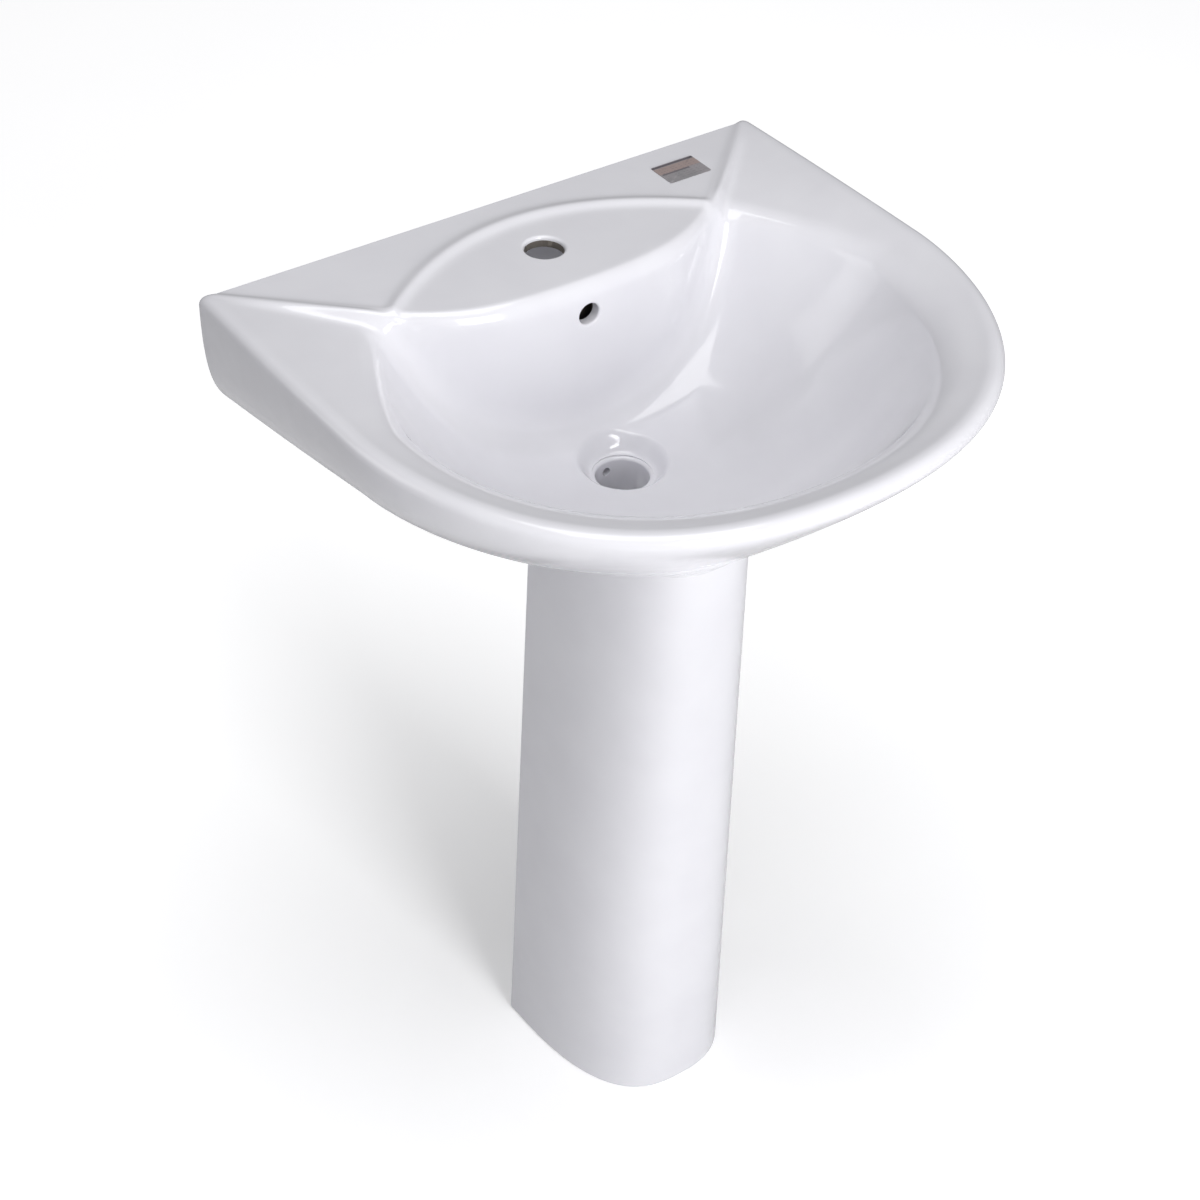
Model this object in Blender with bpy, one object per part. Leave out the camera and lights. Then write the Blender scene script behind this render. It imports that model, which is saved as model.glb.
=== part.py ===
"""Pedestal sink: vitreous china basin on a half-round china pedestal, with its seat strip,
its two wall fixings and its maker's label.  Metres, +Z up, the wall is towards +Y."""
import bpy
import bmesh
import numpy as np
from math import cos, pi, radians, sin

# ---------------------------------------------------------------- driving dimensions
# overall
basin_width = 0.580           # across the two side rims
basin_depth = 0.517           # wall face to front rim
rim_height = 0.820            # floor to top of rim
fit_gap = 0.0003              # gap kept between pieces that touch
hole_play = 0.001             # extra radius round a bolt or bush

# basin, seen from above; distances "back" are counted from the wall face
corner_pinch = 0.0034         # each back corner stands this much inside the widest point
corner_radius = 0.006
nose_flatness = 0.876         # how far the front edge runs level, as a share of the half width
shoulder_fullness = 0.235     # how long the rim stays widest ahead of its widest point, as a share
flank_straightness = (0.26, 0.47)    # and behind it: at the widest point, and at the back corner
widest_back = 0.242           # the rim is widest this far from the wall
side_rim = 0.052              # width of the rim beside the bowl
front_rim = 0.046             # width of the rim in front of the bowl
mouth_centre_back = 0.2456
mouth_rear_reach = 0.289      # rear half of the mouth oval, most of it cut off by the tap deck
mouth_power_front = 2.13      # 2 is a true ellipse
mouth_power_rear = 1.48
lens_corner_x = 0.167         # where the tap deck, the bowl and the rim meet
lens_corner_back = 0.109
lens_front_back = 0.158       # front edge of the tap deck on the centre line
lens_apex_back = 0.0375       # rear ridge of the tap deck on the centre line
lens_front_run = 0.085        # the tap deck's front edge leaves the centre line level over this distance
lens_corner_run = (0.042, 0.038)     # and comes into its corner along this slope

# basin heights, counted down from the rim
rim_edge_radius = 0.009
rim_dish = 0.012              # the rim falls this much towards the bowl
deck_drop = 0.0025            # back deck below the rim
lens_drop = 0.0035            # tap deck below the rim
ridge_half_width = 0.008
rim_dish_curve = 1.2          # 1 is a straight slope towards the bowl
ridge_fade = 0.020            # the ridges run into each other over this length at the tap deck's corners
lens_fade = (0.004, 0.012)    # the tap deck's rear ridge fades from inside its corner to outside it
ridge_crispness = 1.5
edge_fade = 0.035             # the crest along the side rim fades out over this length at the back corner
ridge_slant = 0.74            # cosine of the back corner ridges' angle to the wall
lens_slant = 0.9              # the same for the tap deck's edges, on average
least_rim = 0.02              # narrowest rim that the dish is shared over
bowl_depth = 0.154            # rim to bowl floor
bowl_power = 3.0              # higher is a flatter floor and a steeper wall
bowl_fillet = 0.032           # blend between the bowl's back wall and its floor
edge_blend = 0.012            # rounding of the edges round the bowl
china_wall = 0.010
seat_rim = 0.008              # height of the rim that stands on the pedestal
seat_clear = 0.0035           # hollow left between that rim and the bowl's own wall
back_wall_drop = 0.150        # rim to the lower edge of the wall face
belly_upright = (0.85, 0.52, 0.09)   # at the back, middle and front: how far the side drops straight
belly_spread = (0.63, 0.54, 0.13)    # how far the underside runs level before it meets its lower edge
belly_rise = (0.36, 0.33, 0.14)      # how steeply it leaves that edge
hollow_front_back = 0.235     # the hollow under the basin reaches this far from the wall
underside_half_width = 0.225  # half width of the open underside along the wall

# drain and overflow
drain_back = 0.213
drain_hole_radius = 0.0235
drain_recess_radius = 0.035
drain_recess_depth = 0.013
drain_boss_wall = 0.013
drain_boss_length = 0.050     # bowl floor to the bottom face of the drain boss
overflow_radius = 0.0115
overflow_drop = 0.034         # rim to the centre of the overflow hole
overflow_channel = 0.014      # depth of the hidden channel, front to back
overflow_channel_width = 0.036
overflow_wall = 0.008
weep_radius = 0.004
weep_lift = 0.025             # bottom of the drain boss to the weep port

# tap hole
tap_hole_radius = 0.0175
tap_hole_back = 0.089

# pedestal
foot_half_width = 0.0906
foot_length = 0.1613
top_half_width = 0.0758
top_length = 0.1670
pedestal_back = 0.1836        # wall face to the open back of the pedestal
pedestal_power = 2.8          # 2 is a half ellipse, higher is squarer
pedestal_wall = 0.013
seat_strip_height = 0.0015
seat_strip_width = 0.003
strip_set_back = 0.003        # the strip stops this far short of the pedestal's open back
floor_slot_radius = 0.004     # screw holes in the two feet at the back
foot_lug = 0.030
foot_lug_height = 0.016
foot_lug_lift = 0.004         # underside of the lug above the floor
foot_lug_set_back = 0.004     # lug behind the pedestal's open back
seat_overhang = 0.006         # the basin's underside stands this much proud of the pedestal

# wall fixings
bolt_spacing = 0.280
bolt_drop = 0.085             # rim to bolt centre
bolt_radius = 0.005
bolt_behind_wall = 0.045      # length of stud that goes into the wall
bush_radius = 0.008
bush_flange_radius = 0.014
bush_flange = 0.003
washer_radius = 0.013
washer_thickness = 0.002
nut_across_flats = 0.017
nut_height = 0.008
bolt_past_nut = 0.006

# label
label_width = 0.045
label_height = 0.031
label_thickness = 0.0004
label_x = 0.1775
label_back = 0.0465

# mesh fineness
bowl_rings = 26
ray_count = 241               # trial rays along each section of the bowl, before the rings are spaced
bend_spacing = 0.03           # a bend of one radian counts as this much length, so bends get more rings
bend_limit = 0.4
evening = 6                   # passes that even out the rings' spacing from section to section
eye_height = 0.12             # the rays start this far above the rim, over the drain
belly_rings = 9
front_steps, side_steps, corner_steps, back_steps = 15, 8, 3, 9   # sections along half of the rim

# ---------------------------------------------------------------- sizes that follow from them
seat_drop = bowl_depth + china_wall + seat_clear + seat_rim
drain_boss_drop = bowl_depth + drain_boss_length
weep_drop = drain_boss_drop - weep_lift
wall_y = (basin_depth - bolt_behind_wall) / 2
bowl_axis = np.array([0.0, -drain_back])
pedestal_height = rim_height - seat_drop - seat_strip_height - 2 * fit_gap


# ---------------------------------------------------------------- scene and materials
for old in list(bpy.data.objects):
    bpy.data.objects.remove(old, do_unlink=True)


def material(name, colour, roughness, metallic=0.0):
    made = bpy.data.materials.new(name)
    made.use_nodes = True
    shader = made.node_tree.nodes["Principled BSDF"]
    shader.inputs["Base Color"].default_value = (*colour, 1.0)
    shader.inputs["Roughness"].default_value = roughness
    shader.inputs["Metallic"].default_value = metallic
    return made


china = material("glazed_china", (0.90, 0.90, 0.93), 0.08)
foam = material("soft_strip", (0.80, 0.80, 0.78), 0.80)
steel = material("zinc_steel", (0.62, 0.63, 0.65), 0.35, 1.0)
nylon = material("white_nylon", (0.86, 0.86, 0.84), 0.45)
paper = material("label_paper", (0.50, 0.45, 0.45), 0.50)


def frame_empty(name, place):
    empty = bpy.data.objects.new(name, None)
    empty.location = place
    bpy.context.collection.objects.link(empty)
    return empty


basin_frame = frame_empty("basin_frame", (0, wall_y, rim_height))
pedestal_frame = frame_empty("pedestal_frame", (0, wall_y - pedestal_back, 0))


def add_object(name, mesh, parent, finish=None, place=(0, 0, 0), turn=(0, 0, 0), smooth=35):
    """Link a mesh under its frame.  Without a finish it is a cutter."""
    made = bpy.data.objects.new(name, mesh)
    made.parent = parent
    made.location = place
    made.rotation_euler = turn
    bpy.context.collection.objects.link(made)
    if finish is None:
        made.hide_render = True
        made.display_type = "WIRE"
        return made
    mesh.materials.append(finish)
    mesh.shade_smooth()
    mesh.set_sharp_from_angle(angle=radians(smooth))
    return made


def combine(target, other, operation):
    step = target.modifiers.new(other.name, "BOOLEAN")
    step.operation = operation
    step.solver = "EXACT"
    step.object = other


# ---------------------------------------------------------------- mesh helpers
def loft(name, rings, start=None, end=None, wrap=False):
    """Skin a list of closed rings of equal length; start and end are points that close the ends."""
    shape = bmesh.new()
    loops = [[shape.verts.new(point) for point in ring] for ring in rings]
    pairs = list(zip(loops, loops[1:]))
    if wrap:
        pairs.append((loops[-1], loops[0]))
    for low, high in pairs:
        for i in range(len(low)):
            j = (i + 1) % len(low)
            shape.faces.new((low[i], low[j], high[j], high[i]))
    for loop, point in ((loops[0], start), (loops[-1], end)):
        if point is None:
            continue
        tip = shape.verts.new(point)
        for i in range(len(loop)):
            shape.faces.new((loop[i], loop[(i + 1) % len(loop)], tip))
    bmesh.ops.recalc_face_normals(shape, faces=shape.faces)
    mesh = bpy.data.meshes.new(name)
    shape.to_mesh(mesh)
    shape.free()
    return mesh


def cylinder(name, radius, length, segments=32, top_radius=None):
    """A cylinder or cone on +Z, standing on its frame's origin."""
    shape = bmesh.new()
    bmesh.ops.create_cone(shape, cap_ends=True, segments=segments, radius1=radius,
                          radius2=radius if top_radius is None else top_radius, depth=length)
    bmesh.ops.translate(shape, verts=shape.verts, vec=(0, 0, length / 2))
    mesh = bpy.data.meshes.new(name)
    shape.to_mesh(mesh)
    shape.free()
    return mesh


def box(name, low, high):
    shape = bmesh.new()
    bmesh.ops.create_cube(shape, size=1)
    for vert in shape.verts:
        vert.co = [low[k] + (vert.co[k] + 0.5) * (high[k] - low[k]) for k in range(3)]
    mesh = bpy.data.meshes.new(name)
    shape.to_mesh(mesh)
    shape.free()
    return mesh


def turned_ring(name, profile, segments=32):
    """Turn a closed (radius, height) profile round +Z; a radius may be a function of the angle."""
    turns = []
    for k in range(segments):
        angle = 2 * pi * k / segments
        section = []
        for radius, height in profile:
            reach = radius(angle) if callable(radius) else radius
            section.append((reach * cos(angle), reach * sin(angle), height))
        turns.append(section)
    return loft(name, turns, wrap=True)


# ---------------------------------------------------------------- basin outlines, seen from above
def bezier(p0, p1, p2, p3, count):
    t = np.linspace(0, 1, count + 1)[:, None]
    points = [np.array(p, float) for p in (p0, p1, p2, p3)]
    return ((1 - t) ** 3 * points[0] + 3 * (1 - t) ** 2 * t * points[1]
            + 3 * (1 - t) * t ** 2 * points[2] + t ** 3 * points[3])


def corner_and_back(half_width, back_y, radius):
    """The rounded back corner, then the straight back edge up to the centre line."""
    angles = np.linspace(0, pi / 2, corner_steps + 1)[1:]
    corner = np.stack([half_width - radius + radius * np.cos(angles),
                       back_y - radius + radius * np.sin(angles)], 1)
    along = np.linspace(1, 0, back_steps + 1)[1:, None]
    back = np.hstack([(half_width - radius) * along, np.full_like(along, back_y)])
    return np.vstack([corner, back])


def mirrored(half):
    """Close a right half that runs from the front centre to the back centre."""
    left = half[1:-1][::-1] * [-1, 1]
    return np.vstack([half, left])


def rim_outline(inset):
    """Outer edge of the rim, moved inwards by inset."""
    widest = basin_width / 2 - inset
    corner = widest - corner_pinch
    front = basin_depth - inset
    nose = front - widest_back
    side_start = inset + corner_radius
    side_run = widest_back - side_start
    front_part = bezier((0, -front), (nose_flatness * widest, -front),
                        (widest, -widest_back - shoulder_fullness * nose), (widest, -widest_back),
                        front_steps)
    ahead, behind = flank_straightness
    side_part = bezier((widest, -widest_back), (widest, -widest_back + ahead * side_run),
                       (widest, -side_start - behind * side_run), (corner, -side_start), side_steps)
    return mirrored(np.vstack([front_part, side_part[1:],
                               corner_and_back(corner, -inset, corner_radius)]))


def half_ellipse(half_width, length, power, count):
    """Right half of a squared half ellipse, from its nose to its open back at y = 0."""
    angles = np.linspace(pi / 2, 0, count + 1)
    across = half_width * np.cos(angles).clip(0) ** (2 / power)
    along = length * np.sin(angles).clip(0) ** (2 / power)
    return np.stack([across, -along], 1)


def underside_outline(inset):
    """Lower edge of the basin: round the pedestal's top, then flaring back to the wall."""
    proud = seat_overhang - inset
    seat = half_ellipse(top_half_width + proud, top_length + proud, pedestal_power, front_steps)
    seat[:, 1] -= pedestal_back
    corner = underside_half_width - inset
    share = np.linspace(0, 1, side_steps + 1)[1:, None]
    flare = seat[-1] + (np.array([corner, -inset - corner_radius]) - seat[-1]) * share
    return mirrored(np.vstack([seat, flare, corner_and_back(corner, -inset, corner_radius)]))


def underside_height():
    """Height of the lower edge under each point of the outline."""
    seat = np.full(front_steps + 1, -seat_drop)
    flare = np.linspace(-seat_drop, -back_wall_drop, side_steps + 1)[1:]
    back = np.full(corner_steps + back_steps, -back_wall_drop)
    half = np.concatenate([seat, flare, back])
    return np.concatenate([half, half[1:-1][::-1]])


# ---------------------------------------------------------------- basin's upper surface
lens_front = bezier((0, lens_front_back), (lens_front_run, lens_front_back),
                    (lens_corner_x - lens_corner_run[0], lens_corner_back + lens_corner_run[1]),
                    (lens_corner_x, lens_corner_back), 24)
lens_front = np.vstack([lens_front, [basin_width / 2 - corner_pinch, 0]])


def deck_front(x):
    """Distance back to the line that bounds the deck: tap deck's front edge, then the ridges."""
    return np.interp(np.abs(x), lens_front[:, 0], lens_front[:, 1])


def smooth_step(low, high, value):
    t = np.clip((value - low) / (high - low), 0, 1)
    return t * t * (3 - 2 * t)


def smooth_min(a, b, blend):
    near = np.maximum(blend - np.abs(a - b), 0) / blend
    return np.minimum(a, b) - near * near * blend / 4


def mouth_ratio(x, y, grow):
    """0 at the middle of the bowl's mouth oval and 1 on the oval."""
    forward = -y - mouth_centre_back
    ahead = forward > 0
    reach = np.where(ahead, basin_depth - front_rim - mouth_centre_back, mouth_rear_reach) + grow
    power = np.where(ahead, mouth_power_front, mouth_power_rear)
    half = basin_width / 2 - side_rim + grow
    return ((np.abs(x) / half) ** power + (np.abs(forward) / reach) ** power) ** (1 / power)


def top_height(x, y, distance, mouth_distance, edge_distance):
    """Height of the rim and the decks, leaving the bowl out."""
    share = (distance - mouth_distance) / np.maximum(edge_distance - mouth_distance, least_rim)
    rim = rim_dish * (1 - np.clip(share, 0, 1)) ** rim_dish_curve
    behind = (deck_front(x) + y) * ridge_slant
    inside_lens = -y - lens_apex_back - (lens_corner_back - lens_apex_back) * (x / lens_corner_x) ** 2
    inside_lens = inside_lens * lens_slant
    deck_step = smooth_step(-ridge_half_width, ridge_half_width, inside_lens)
    deck = deck_drop + (lens_drop - deck_drop) * deck_step
    drop = rim + (deck - rim) * smooth_step(-ridge_half_width, ridge_half_width, behind)
    out_of_lens = smooth_step(lens_corner_x - ridge_fade, lens_corner_x, np.abs(x))
    in_lens = 1 - smooth_step(lens_corner_x - lens_fade[0], lens_corner_x + lens_fade[1], np.abs(x))
    edge_y = (y + drain_back) * edge_distance / np.maximum(distance, 0.001) - drain_back
    at_edge = smooth_step(0, edge_fade, -edge_y - rim_edge_radius)
    for gap, weight in ((behind, out_of_lens), (inside_lens, in_lens), (edge_distance - distance, at_edge)):
        drop = drop * (1 - weight * np.exp(-ridge_crispness * (gap / ridge_half_width) ** 2))
    return -drop


def above_surface(x, y, z, distance, mouth_distance, edge_distance, grow):
    """Positive in the air over the basin, negative in the china; grow thickens the bowl outwards."""
    ratio = mouth_ratio(x, y, grow)
    hollow = bowl_depth - rim_dish
    floor = -rim_dish - hollow * (1 - ratio ** bowl_power) - grow
    from_centre = np.maximum(np.hypot(x, y + mouth_centre_back), 0.001)
    slope = bowl_power * hollow * ratio ** bowl_power / from_centre
    over_floor = (z - floor) / np.sqrt(1 + slope ** 2)
    before_wall = (-y - deck_front(x) + grow) * lens_slant
    over_bowl = smooth_min(over_floor, before_wall, bowl_fillet)
    over_top = z + grow - top_height(x, y, distance, mouth_distance, edge_distance)
    return -smooth_min(-over_bowl, -over_top, edge_blend)


def crossing(air, far, steps=40):
    """Distance along each ray at which air changes from positive to negative."""
    near, far = np.zeros_like(far), far
    for _ in range(steps):
        middle = (near + far) / 2
        outside = air(middle) > 0
        near = np.where(outside, middle, near)
        far = np.where(outside, far, middle)
    return (near + far) / 2


def upper_rings(grow, rings):
    """Rings of the upper surface, from round the drain out to the crest of the rim.
    Every point is where a ray from an eye over the drain meets the surface."""
    crest = rim_outline(rim_edge_radius + grow)
    offset = crest - bowl_axis
    edge = np.hypot(offset[:, 0], offset[:, 1])[:, None]
    way = offset[:, :, None] / edge[:, :, None]
    across, along = way[:, 0], way[:, 1]

    def mouth_air(distance):
        return 1 - mouth_ratio(across * distance, bowl_axis[1] + along * distance, grow)

    mouth = crossing(mouth_air, np.full_like(edge, basin_width))

    def surface(tilt):
        def air(reach):
            distance = reach * np.sin(tilt)
            height = eye_height - reach * np.cos(tilt)
            x, y = across * distance, bowl_axis[1] + along * distance
            return above_surface(x, y, height, distance, mouth, edge, grow)
        reach = crossing(air, np.full_like(tilt, eye_height + basin_width))
        return reach * np.sin(tilt), eye_height - reach * np.cos(tilt)

    last_tilt = np.arctan2(edge, eye_height + grow)
    tilt = last_tilt * np.linspace(0, 1, ray_count)[None, :]
    distance, height = surface(tilt)
    run, fall = np.diff(distance, axis=1), np.diff(height, axis=1)
    bend = np.abs(np.diff(np.unwrap(np.arctan2(fall, run), axis=1), axis=1)).clip(0, bend_limit)
    spacing = np.hypot(run, fall)
    spacing[:, 1:] += bend_spacing * bend
    travelled = np.hstack([np.zeros_like(edge), np.cumsum(spacing, axis=1)])
    shares = np.linspace(0, 1, rings + 1)[1:]
    even = np.array([np.interp(shares * line[-1], line, row) for line, row in zip(travelled, tilt)])
    spread = even / last_tilt
    for _ in range(evening):
        spread = (np.roll(spread, 1, axis=0) + 2 * spread + np.roll(spread, -1, axis=0)) / 4
    distance, height = surface(spread * last_tilt)
    points = np.stack([across * distance, bowl_axis[1] + along * distance, height], 2)
    return [points[:, k] for k in range(rings)]


def blend_along(values, outline):
    """Pick a belly value for each outline point by how far it is from the wall."""
    f = np.clip(-outline[:, 1] / basin_depth, 0, 1)
    back, middle, front = values
    return (back * (1 - f) ** 2 + 2 * middle * f * (1 - f) + front * f ** 2)[:, None]


def belly(inset, shoulder, lift):
    """Rings of the underside, from the rim's edge down to the lower edge."""
    edge, under = rim_outline(inset), underside_outline(inset)
    top = np.column_stack([edge, np.broadcast_to(shoulder, len(edge))])
    low = np.column_stack([under, underside_height() + lift])
    upright, spread, rise = (blend_along(v, edge) for v in (belly_upright, belly_spread, belly_rise))
    straight = np.hstack([0 * upright, 0 * upright, upright])
    level = np.hstack([spread, spread, rise])
    below, before = top + (low - top) * straight, low + (top - low) * level
    return [(1 - t) ** 3 * top + 3 * (1 - t) ** 2 * t * below + 3 * (1 - t) * t ** 2 * before + t ** 3 * low
            for t in np.linspace(0, 1, belly_rings + 1)]


def level_ring(outline, height):
    return np.column_stack([outline, np.full(len(outline), height)])


def solid_basin(name):
    """The basin with its bowl, not yet hollow underneath."""
    rings = upper_rings(0.0, bowl_rings)
    crest, edge = rim_outline(rim_edge_radius), rim_outline(0.0)
    crest_height = rings[-1][:, 2]
    for angle in np.linspace(0, pi / 2, 4)[1:-1]:
        plan = crest + (edge - crest) * sin(angle)
        rings.append(np.column_stack([plan, crest_height - rim_edge_radius * (1 - cos(angle))]))
    rings += belly(0.0, crest_height - rim_edge_radius, 0.0)
    return loft(name, rings, start=(0, bowl_axis[1], -bowl_depth), end=(0, bowl_axis[1], -seat_drop))


above, below_all = 0.04, -drain_boss_drop - 0.05     # levels clear of the basin, for cutters
plug_margin = 0.02            # the cutter over the basin reaches this far past the rim


def inner_lump(name):
    """Everything inside the basin's outer skin, carried on above and below it."""
    rings = [level_ring(rim_outline(china_wall), above)]
    rings += belly(china_wall, -rim_edge_radius, seat_rim)
    rings.append(level_ring(underside_outline(china_wall), below_all))
    for ring in rings:
        ring[:, 1] = ring[:, 1].clip(-hollow_front_back)     # the front stays solid
    middle = -hollow_front_back / 2
    return loft(name, rings, start=(0, middle, above), end=(0, middle, below_all))


def upper_plug(name):
    """Everything above the lower face of the bowl, the rim and the decks."""
    rings = upper_rings(china_wall, bowl_rings // 2 + 3)
    outside = rim_outline(-plug_margin)
    rings.append(level_ring(outside, -china_wall))
    rings.append(level_ring(outside, 2 * above))
    under, over = -bowl_depth - china_wall, 2 * above
    return loft(name, rings, start=(0, bowl_axis[1], under), end=(0, bowl_axis[1], over))


# ---------------------------------------------------------------- basin
basin = add_object("basin", solid_basin("basin"), basin_frame, china)
hollow_shape = add_object("basin_hollow", inner_lump("basin_hollow"), basin_frame)
combine(hollow_shape, add_object("upper_plug", upper_plug("upper_plug"), basin_frame), "DIFFERENCE")
combine(basin, hollow_shape, "DIFFERENCE")

bite = 0.004                       # a lump reaches this far into the china that it joins
skip = 0.001                       # keeps the faces of two lumps from lying in one plane
duct_front = -(lens_front_back - china_wall + 2 * skip)
channel_front = -(lens_front_back - china_wall)
channel_back = channel_front + overflow_channel
duct_back = channel_back + overflow_wall
duct_half = overflow_channel_width / 2 + overflow_wall
duct_low = -weep_drop - weep_radius - overflow_wall
duct_top = -lens_drop - china_wall + bite
foot_front = -drain_back + drain_hole_radius + bite
basin_lumps = [
    ("overflow_duct", box("overflow_duct", (-duct_half, duct_front, duct_low),
                          (duct_half, duct_back, duct_top)), (0, 0, 0)),
    ("overflow_foot", box("overflow_foot", (-duct_half - skip, foot_front, duct_low - skip),
                          (duct_half + skip, duct_back + skip, -bowl_depth - china_wall + bite)), (0, 0, 0)),
    ("drain_boss", cylinder("drain_boss", drain_hole_radius + drain_boss_wall, drain_boss_length - bite),
     (0, -drain_back, -drain_boss_drop)),
]
for name, mesh, place in basin_lumps:
    combine(basin, add_object(name, mesh, basin_frame, place=place), "UNION")

cut_margin = 0.01                  # a cutter passes the face it starts from by this much
forward = (radians(90), 0, 0)      # turns a cylinder's +Z towards the front, -Y
upright = (0, 0, 0)
channel_low = -weep_drop - weep_radius - 2 * skip
channel_top = -overflow_drop + overflow_radius + 3 * skip
weep_length = drain_back - drain_hole_radius + channel_back + 2 * skip
recess_slope = (drain_recess_radius - drain_hole_radius) / drain_recess_depth
recess_mouth = drain_recess_radius + cut_margin * recess_slope
basin_cuts = [
    ("overflow_channel", box("overflow_channel", (-overflow_channel_width / 2, channel_front, channel_low),
                             (overflow_channel_width / 2, channel_back, channel_top)), (0, 0, 0), upright),
    ("overflow_hole", cylinder("overflow_hole", overflow_radius, 4 * cut_margin),
     (0, channel_back - cut_margin / 2, -overflow_drop), forward),
    ("weep_port", cylinder("weep_port", weep_radius, weep_length, 16),
     (0, channel_back - 2 * skip, -weep_drop), forward),
    ("drain_recess", cylinder("drain_recess", drain_hole_radius, drain_recess_depth + cut_margin, 40,
                              recess_mouth), (0, -drain_back, -bowl_depth - drain_recess_depth), upright),
    ("drain_hole", cylinder("drain_hole", drain_hole_radius, drain_boss_drop, 40),
     (0, -drain_back, -drain_boss_drop - cut_margin), upright),
    ("tap_hole", cylinder("tap_hole", tap_hole_radius, 5 * cut_margin), (0, -tap_hole_back, -4 * cut_margin),
     upright),
]
for side in (-1, 1):
    bolt_hole = cylinder(f"bolt_hole_{side}", bush_radius + hole_play, 4 * cut_margin, 24)
    bolt_place = (side * bolt_spacing / 2, cut_margin, -bolt_drop)
    basin_cuts.append((f"bolt_hole_{side}", bolt_hole, bolt_place, forward))
for name, mesh, place, turn in basin_cuts:
    combine(basin, add_object(name, mesh, basin_frame, place=place, turn=turn), "DIFFERENCE")


# ---------------------------------------------------------------- pedestal and its seat strip
def channel_section(half_width, length, wall, count=22):
    """Closed plan of a wall that runs round a half ellipse and is open at the back."""
    outer = half_ellipse(half_width, length, pedestal_power, count)
    inner = half_ellipse(half_width - wall, length - wall, pedestal_power, count)
    outer = np.vstack([outer[::-1] * [-1, 1], outer[1:]])[::-1]
    inner = np.vstack([inner[::-1] * [-1, 1], inner[1:]])
    return np.vstack([outer, inner])


def standing_channel(name, levels):
    """Loft a channel section through (height, half width, length, wall, set back) levels."""
    shape = bmesh.new()
    loops = []
    for height, half_width, length, wall, back in levels:
        plan = channel_section(half_width, length, wall)
        loops.append([shape.verts.new((x, y - back, height)) for x, y in plan])
    count = len(loops[0])
    for low, high in zip(loops, loops[1:]):
        for i in range(count):
            j = (i + 1) % count
            shape.faces.new((low[i], low[j], high[j], high[i]))
    for loop in (loops[0], loops[-1]):
        for i in range(count // 2 - 1):
            shape.faces.new((loop[i], loop[i + 1], loop[count - 2 - i], loop[count - 1 - i]))
    bmesh.ops.recalc_face_normals(shape, faces=shape.faces)
    mesh = bpy.data.meshes.new(name)
    shape.to_mesh(mesh)
    shape.free()
    return mesh


pedestal = add_object("pedestal", standing_channel("pedestal", [
    (0, foot_half_width, foot_length, pedestal_wall, 0),
    (pedestal_height, top_half_width, top_length, pedestal_wall, 0)]), pedestal_frame, china)
for side in (-1, 1):
    outer_x = side * (foot_half_width - pedestal_wall / 2)
    inner_x = side * (foot_half_width - pedestal_wall - foot_lug)
    lug = box(f"foot_lug_{side}", (min(outer_x, inner_x), -foot_lug - foot_lug_set_back, foot_lug_lift),
              (max(outer_x, inner_x), -foot_lug_set_back, foot_lug_height))
    combine(pedestal, add_object(f"foot_lug_{side}", lug, pedestal_frame), "UNION")
    slot = cylinder(f"foot_slot_{side}", floor_slot_radius, foot_lug_height + 2 * cut_margin, 20)
    slot_place = (side * (foot_half_width - pedestal_wall - foot_lug / 2),
                  -foot_lug / 2 - foot_lug_set_back, -cut_margin)
    combine(pedestal, add_object(f"foot_slot_{side}", slot, pedestal_frame, place=slot_place), "DIFFERENCE")

strip_inset = (china_wall - seat_overhang - seat_strip_width) / 2
strip_level = (top_half_width - strip_inset, top_length - strip_inset, seat_strip_width, strip_set_back)
strip = standing_channel("seat_strip", [(0, *strip_level), (seat_strip_height, *strip_level)])
add_object("seat_strip", strip, pedestal_frame, foam, place=(0, 0, pedestal_height + fit_gap))

# ---------------------------------------------------------------- wall fixings
def hexagon(angle):
    return nut_across_flats / 2 / cos(angle % (pi / 3) - pi / 6)


stack = china_wall + bush_flange + washer_thickness + nut_height + 4 * fit_gap
bore = bolt_radius + 0.5 * hole_play
bush_profile = [(bore, 0), (bush_radius, 0), (bush_radius, china_wall + fit_gap),
                (bush_flange_radius, china_wall + fit_gap),
                (bush_flange_radius, china_wall + fit_gap + bush_flange),
                (bore, china_wall + fit_gap + bush_flange)]
washer_at = china_wall + bush_flange + 2 * fit_gap
nut_at = washer_at + washer_thickness + fit_gap
washer_profile = [(bore, 0), (washer_radius, 0),
                  (washer_radius, washer_thickness), (bore, washer_thickness)]
nut_profile = [(bore, 0), (hexagon, 0), (hexagon, nut_height), (bore, nut_height)]
for side, word in ((-1, "left"), (1, "right")):
    x = side * bolt_spacing / 2
    stud = cylinder(f"wall_stud_{word}", bolt_radius, bolt_behind_wall + stack + bolt_past_nut, 24)
    add_object(f"wall_stud_{word}", stud, basin_frame, steel, (x, bolt_behind_wall, -bolt_drop), forward)
    for name, profile, depth, finish in (("stud_bush", bush_profile, 0, nylon),
                                         ("washer", washer_profile, washer_at, steel),
                                         ("nut", nut_profile, nut_at, steel)):
        piece = turned_ring(f"{name}_{word}", profile, 24)
        add_object(f"{name}_{word}", piece, basin_frame, finish, (x, -depth, -bolt_drop), forward)

# ---------------------------------------------------------------- label
label = box("maker_label", (-label_width / 2, -label_height / 2, 0),
            (label_width / 2, label_height / 2, label_thickness))
add_object("maker_label", label, basin_frame, paper, (label_x, -label_back, -deck_drop + fit_gap))
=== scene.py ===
from math import cos, pi, radians, sin
import bmesh
import bpy
import numpy as np
from mathutils import Matrix, Vector


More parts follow.
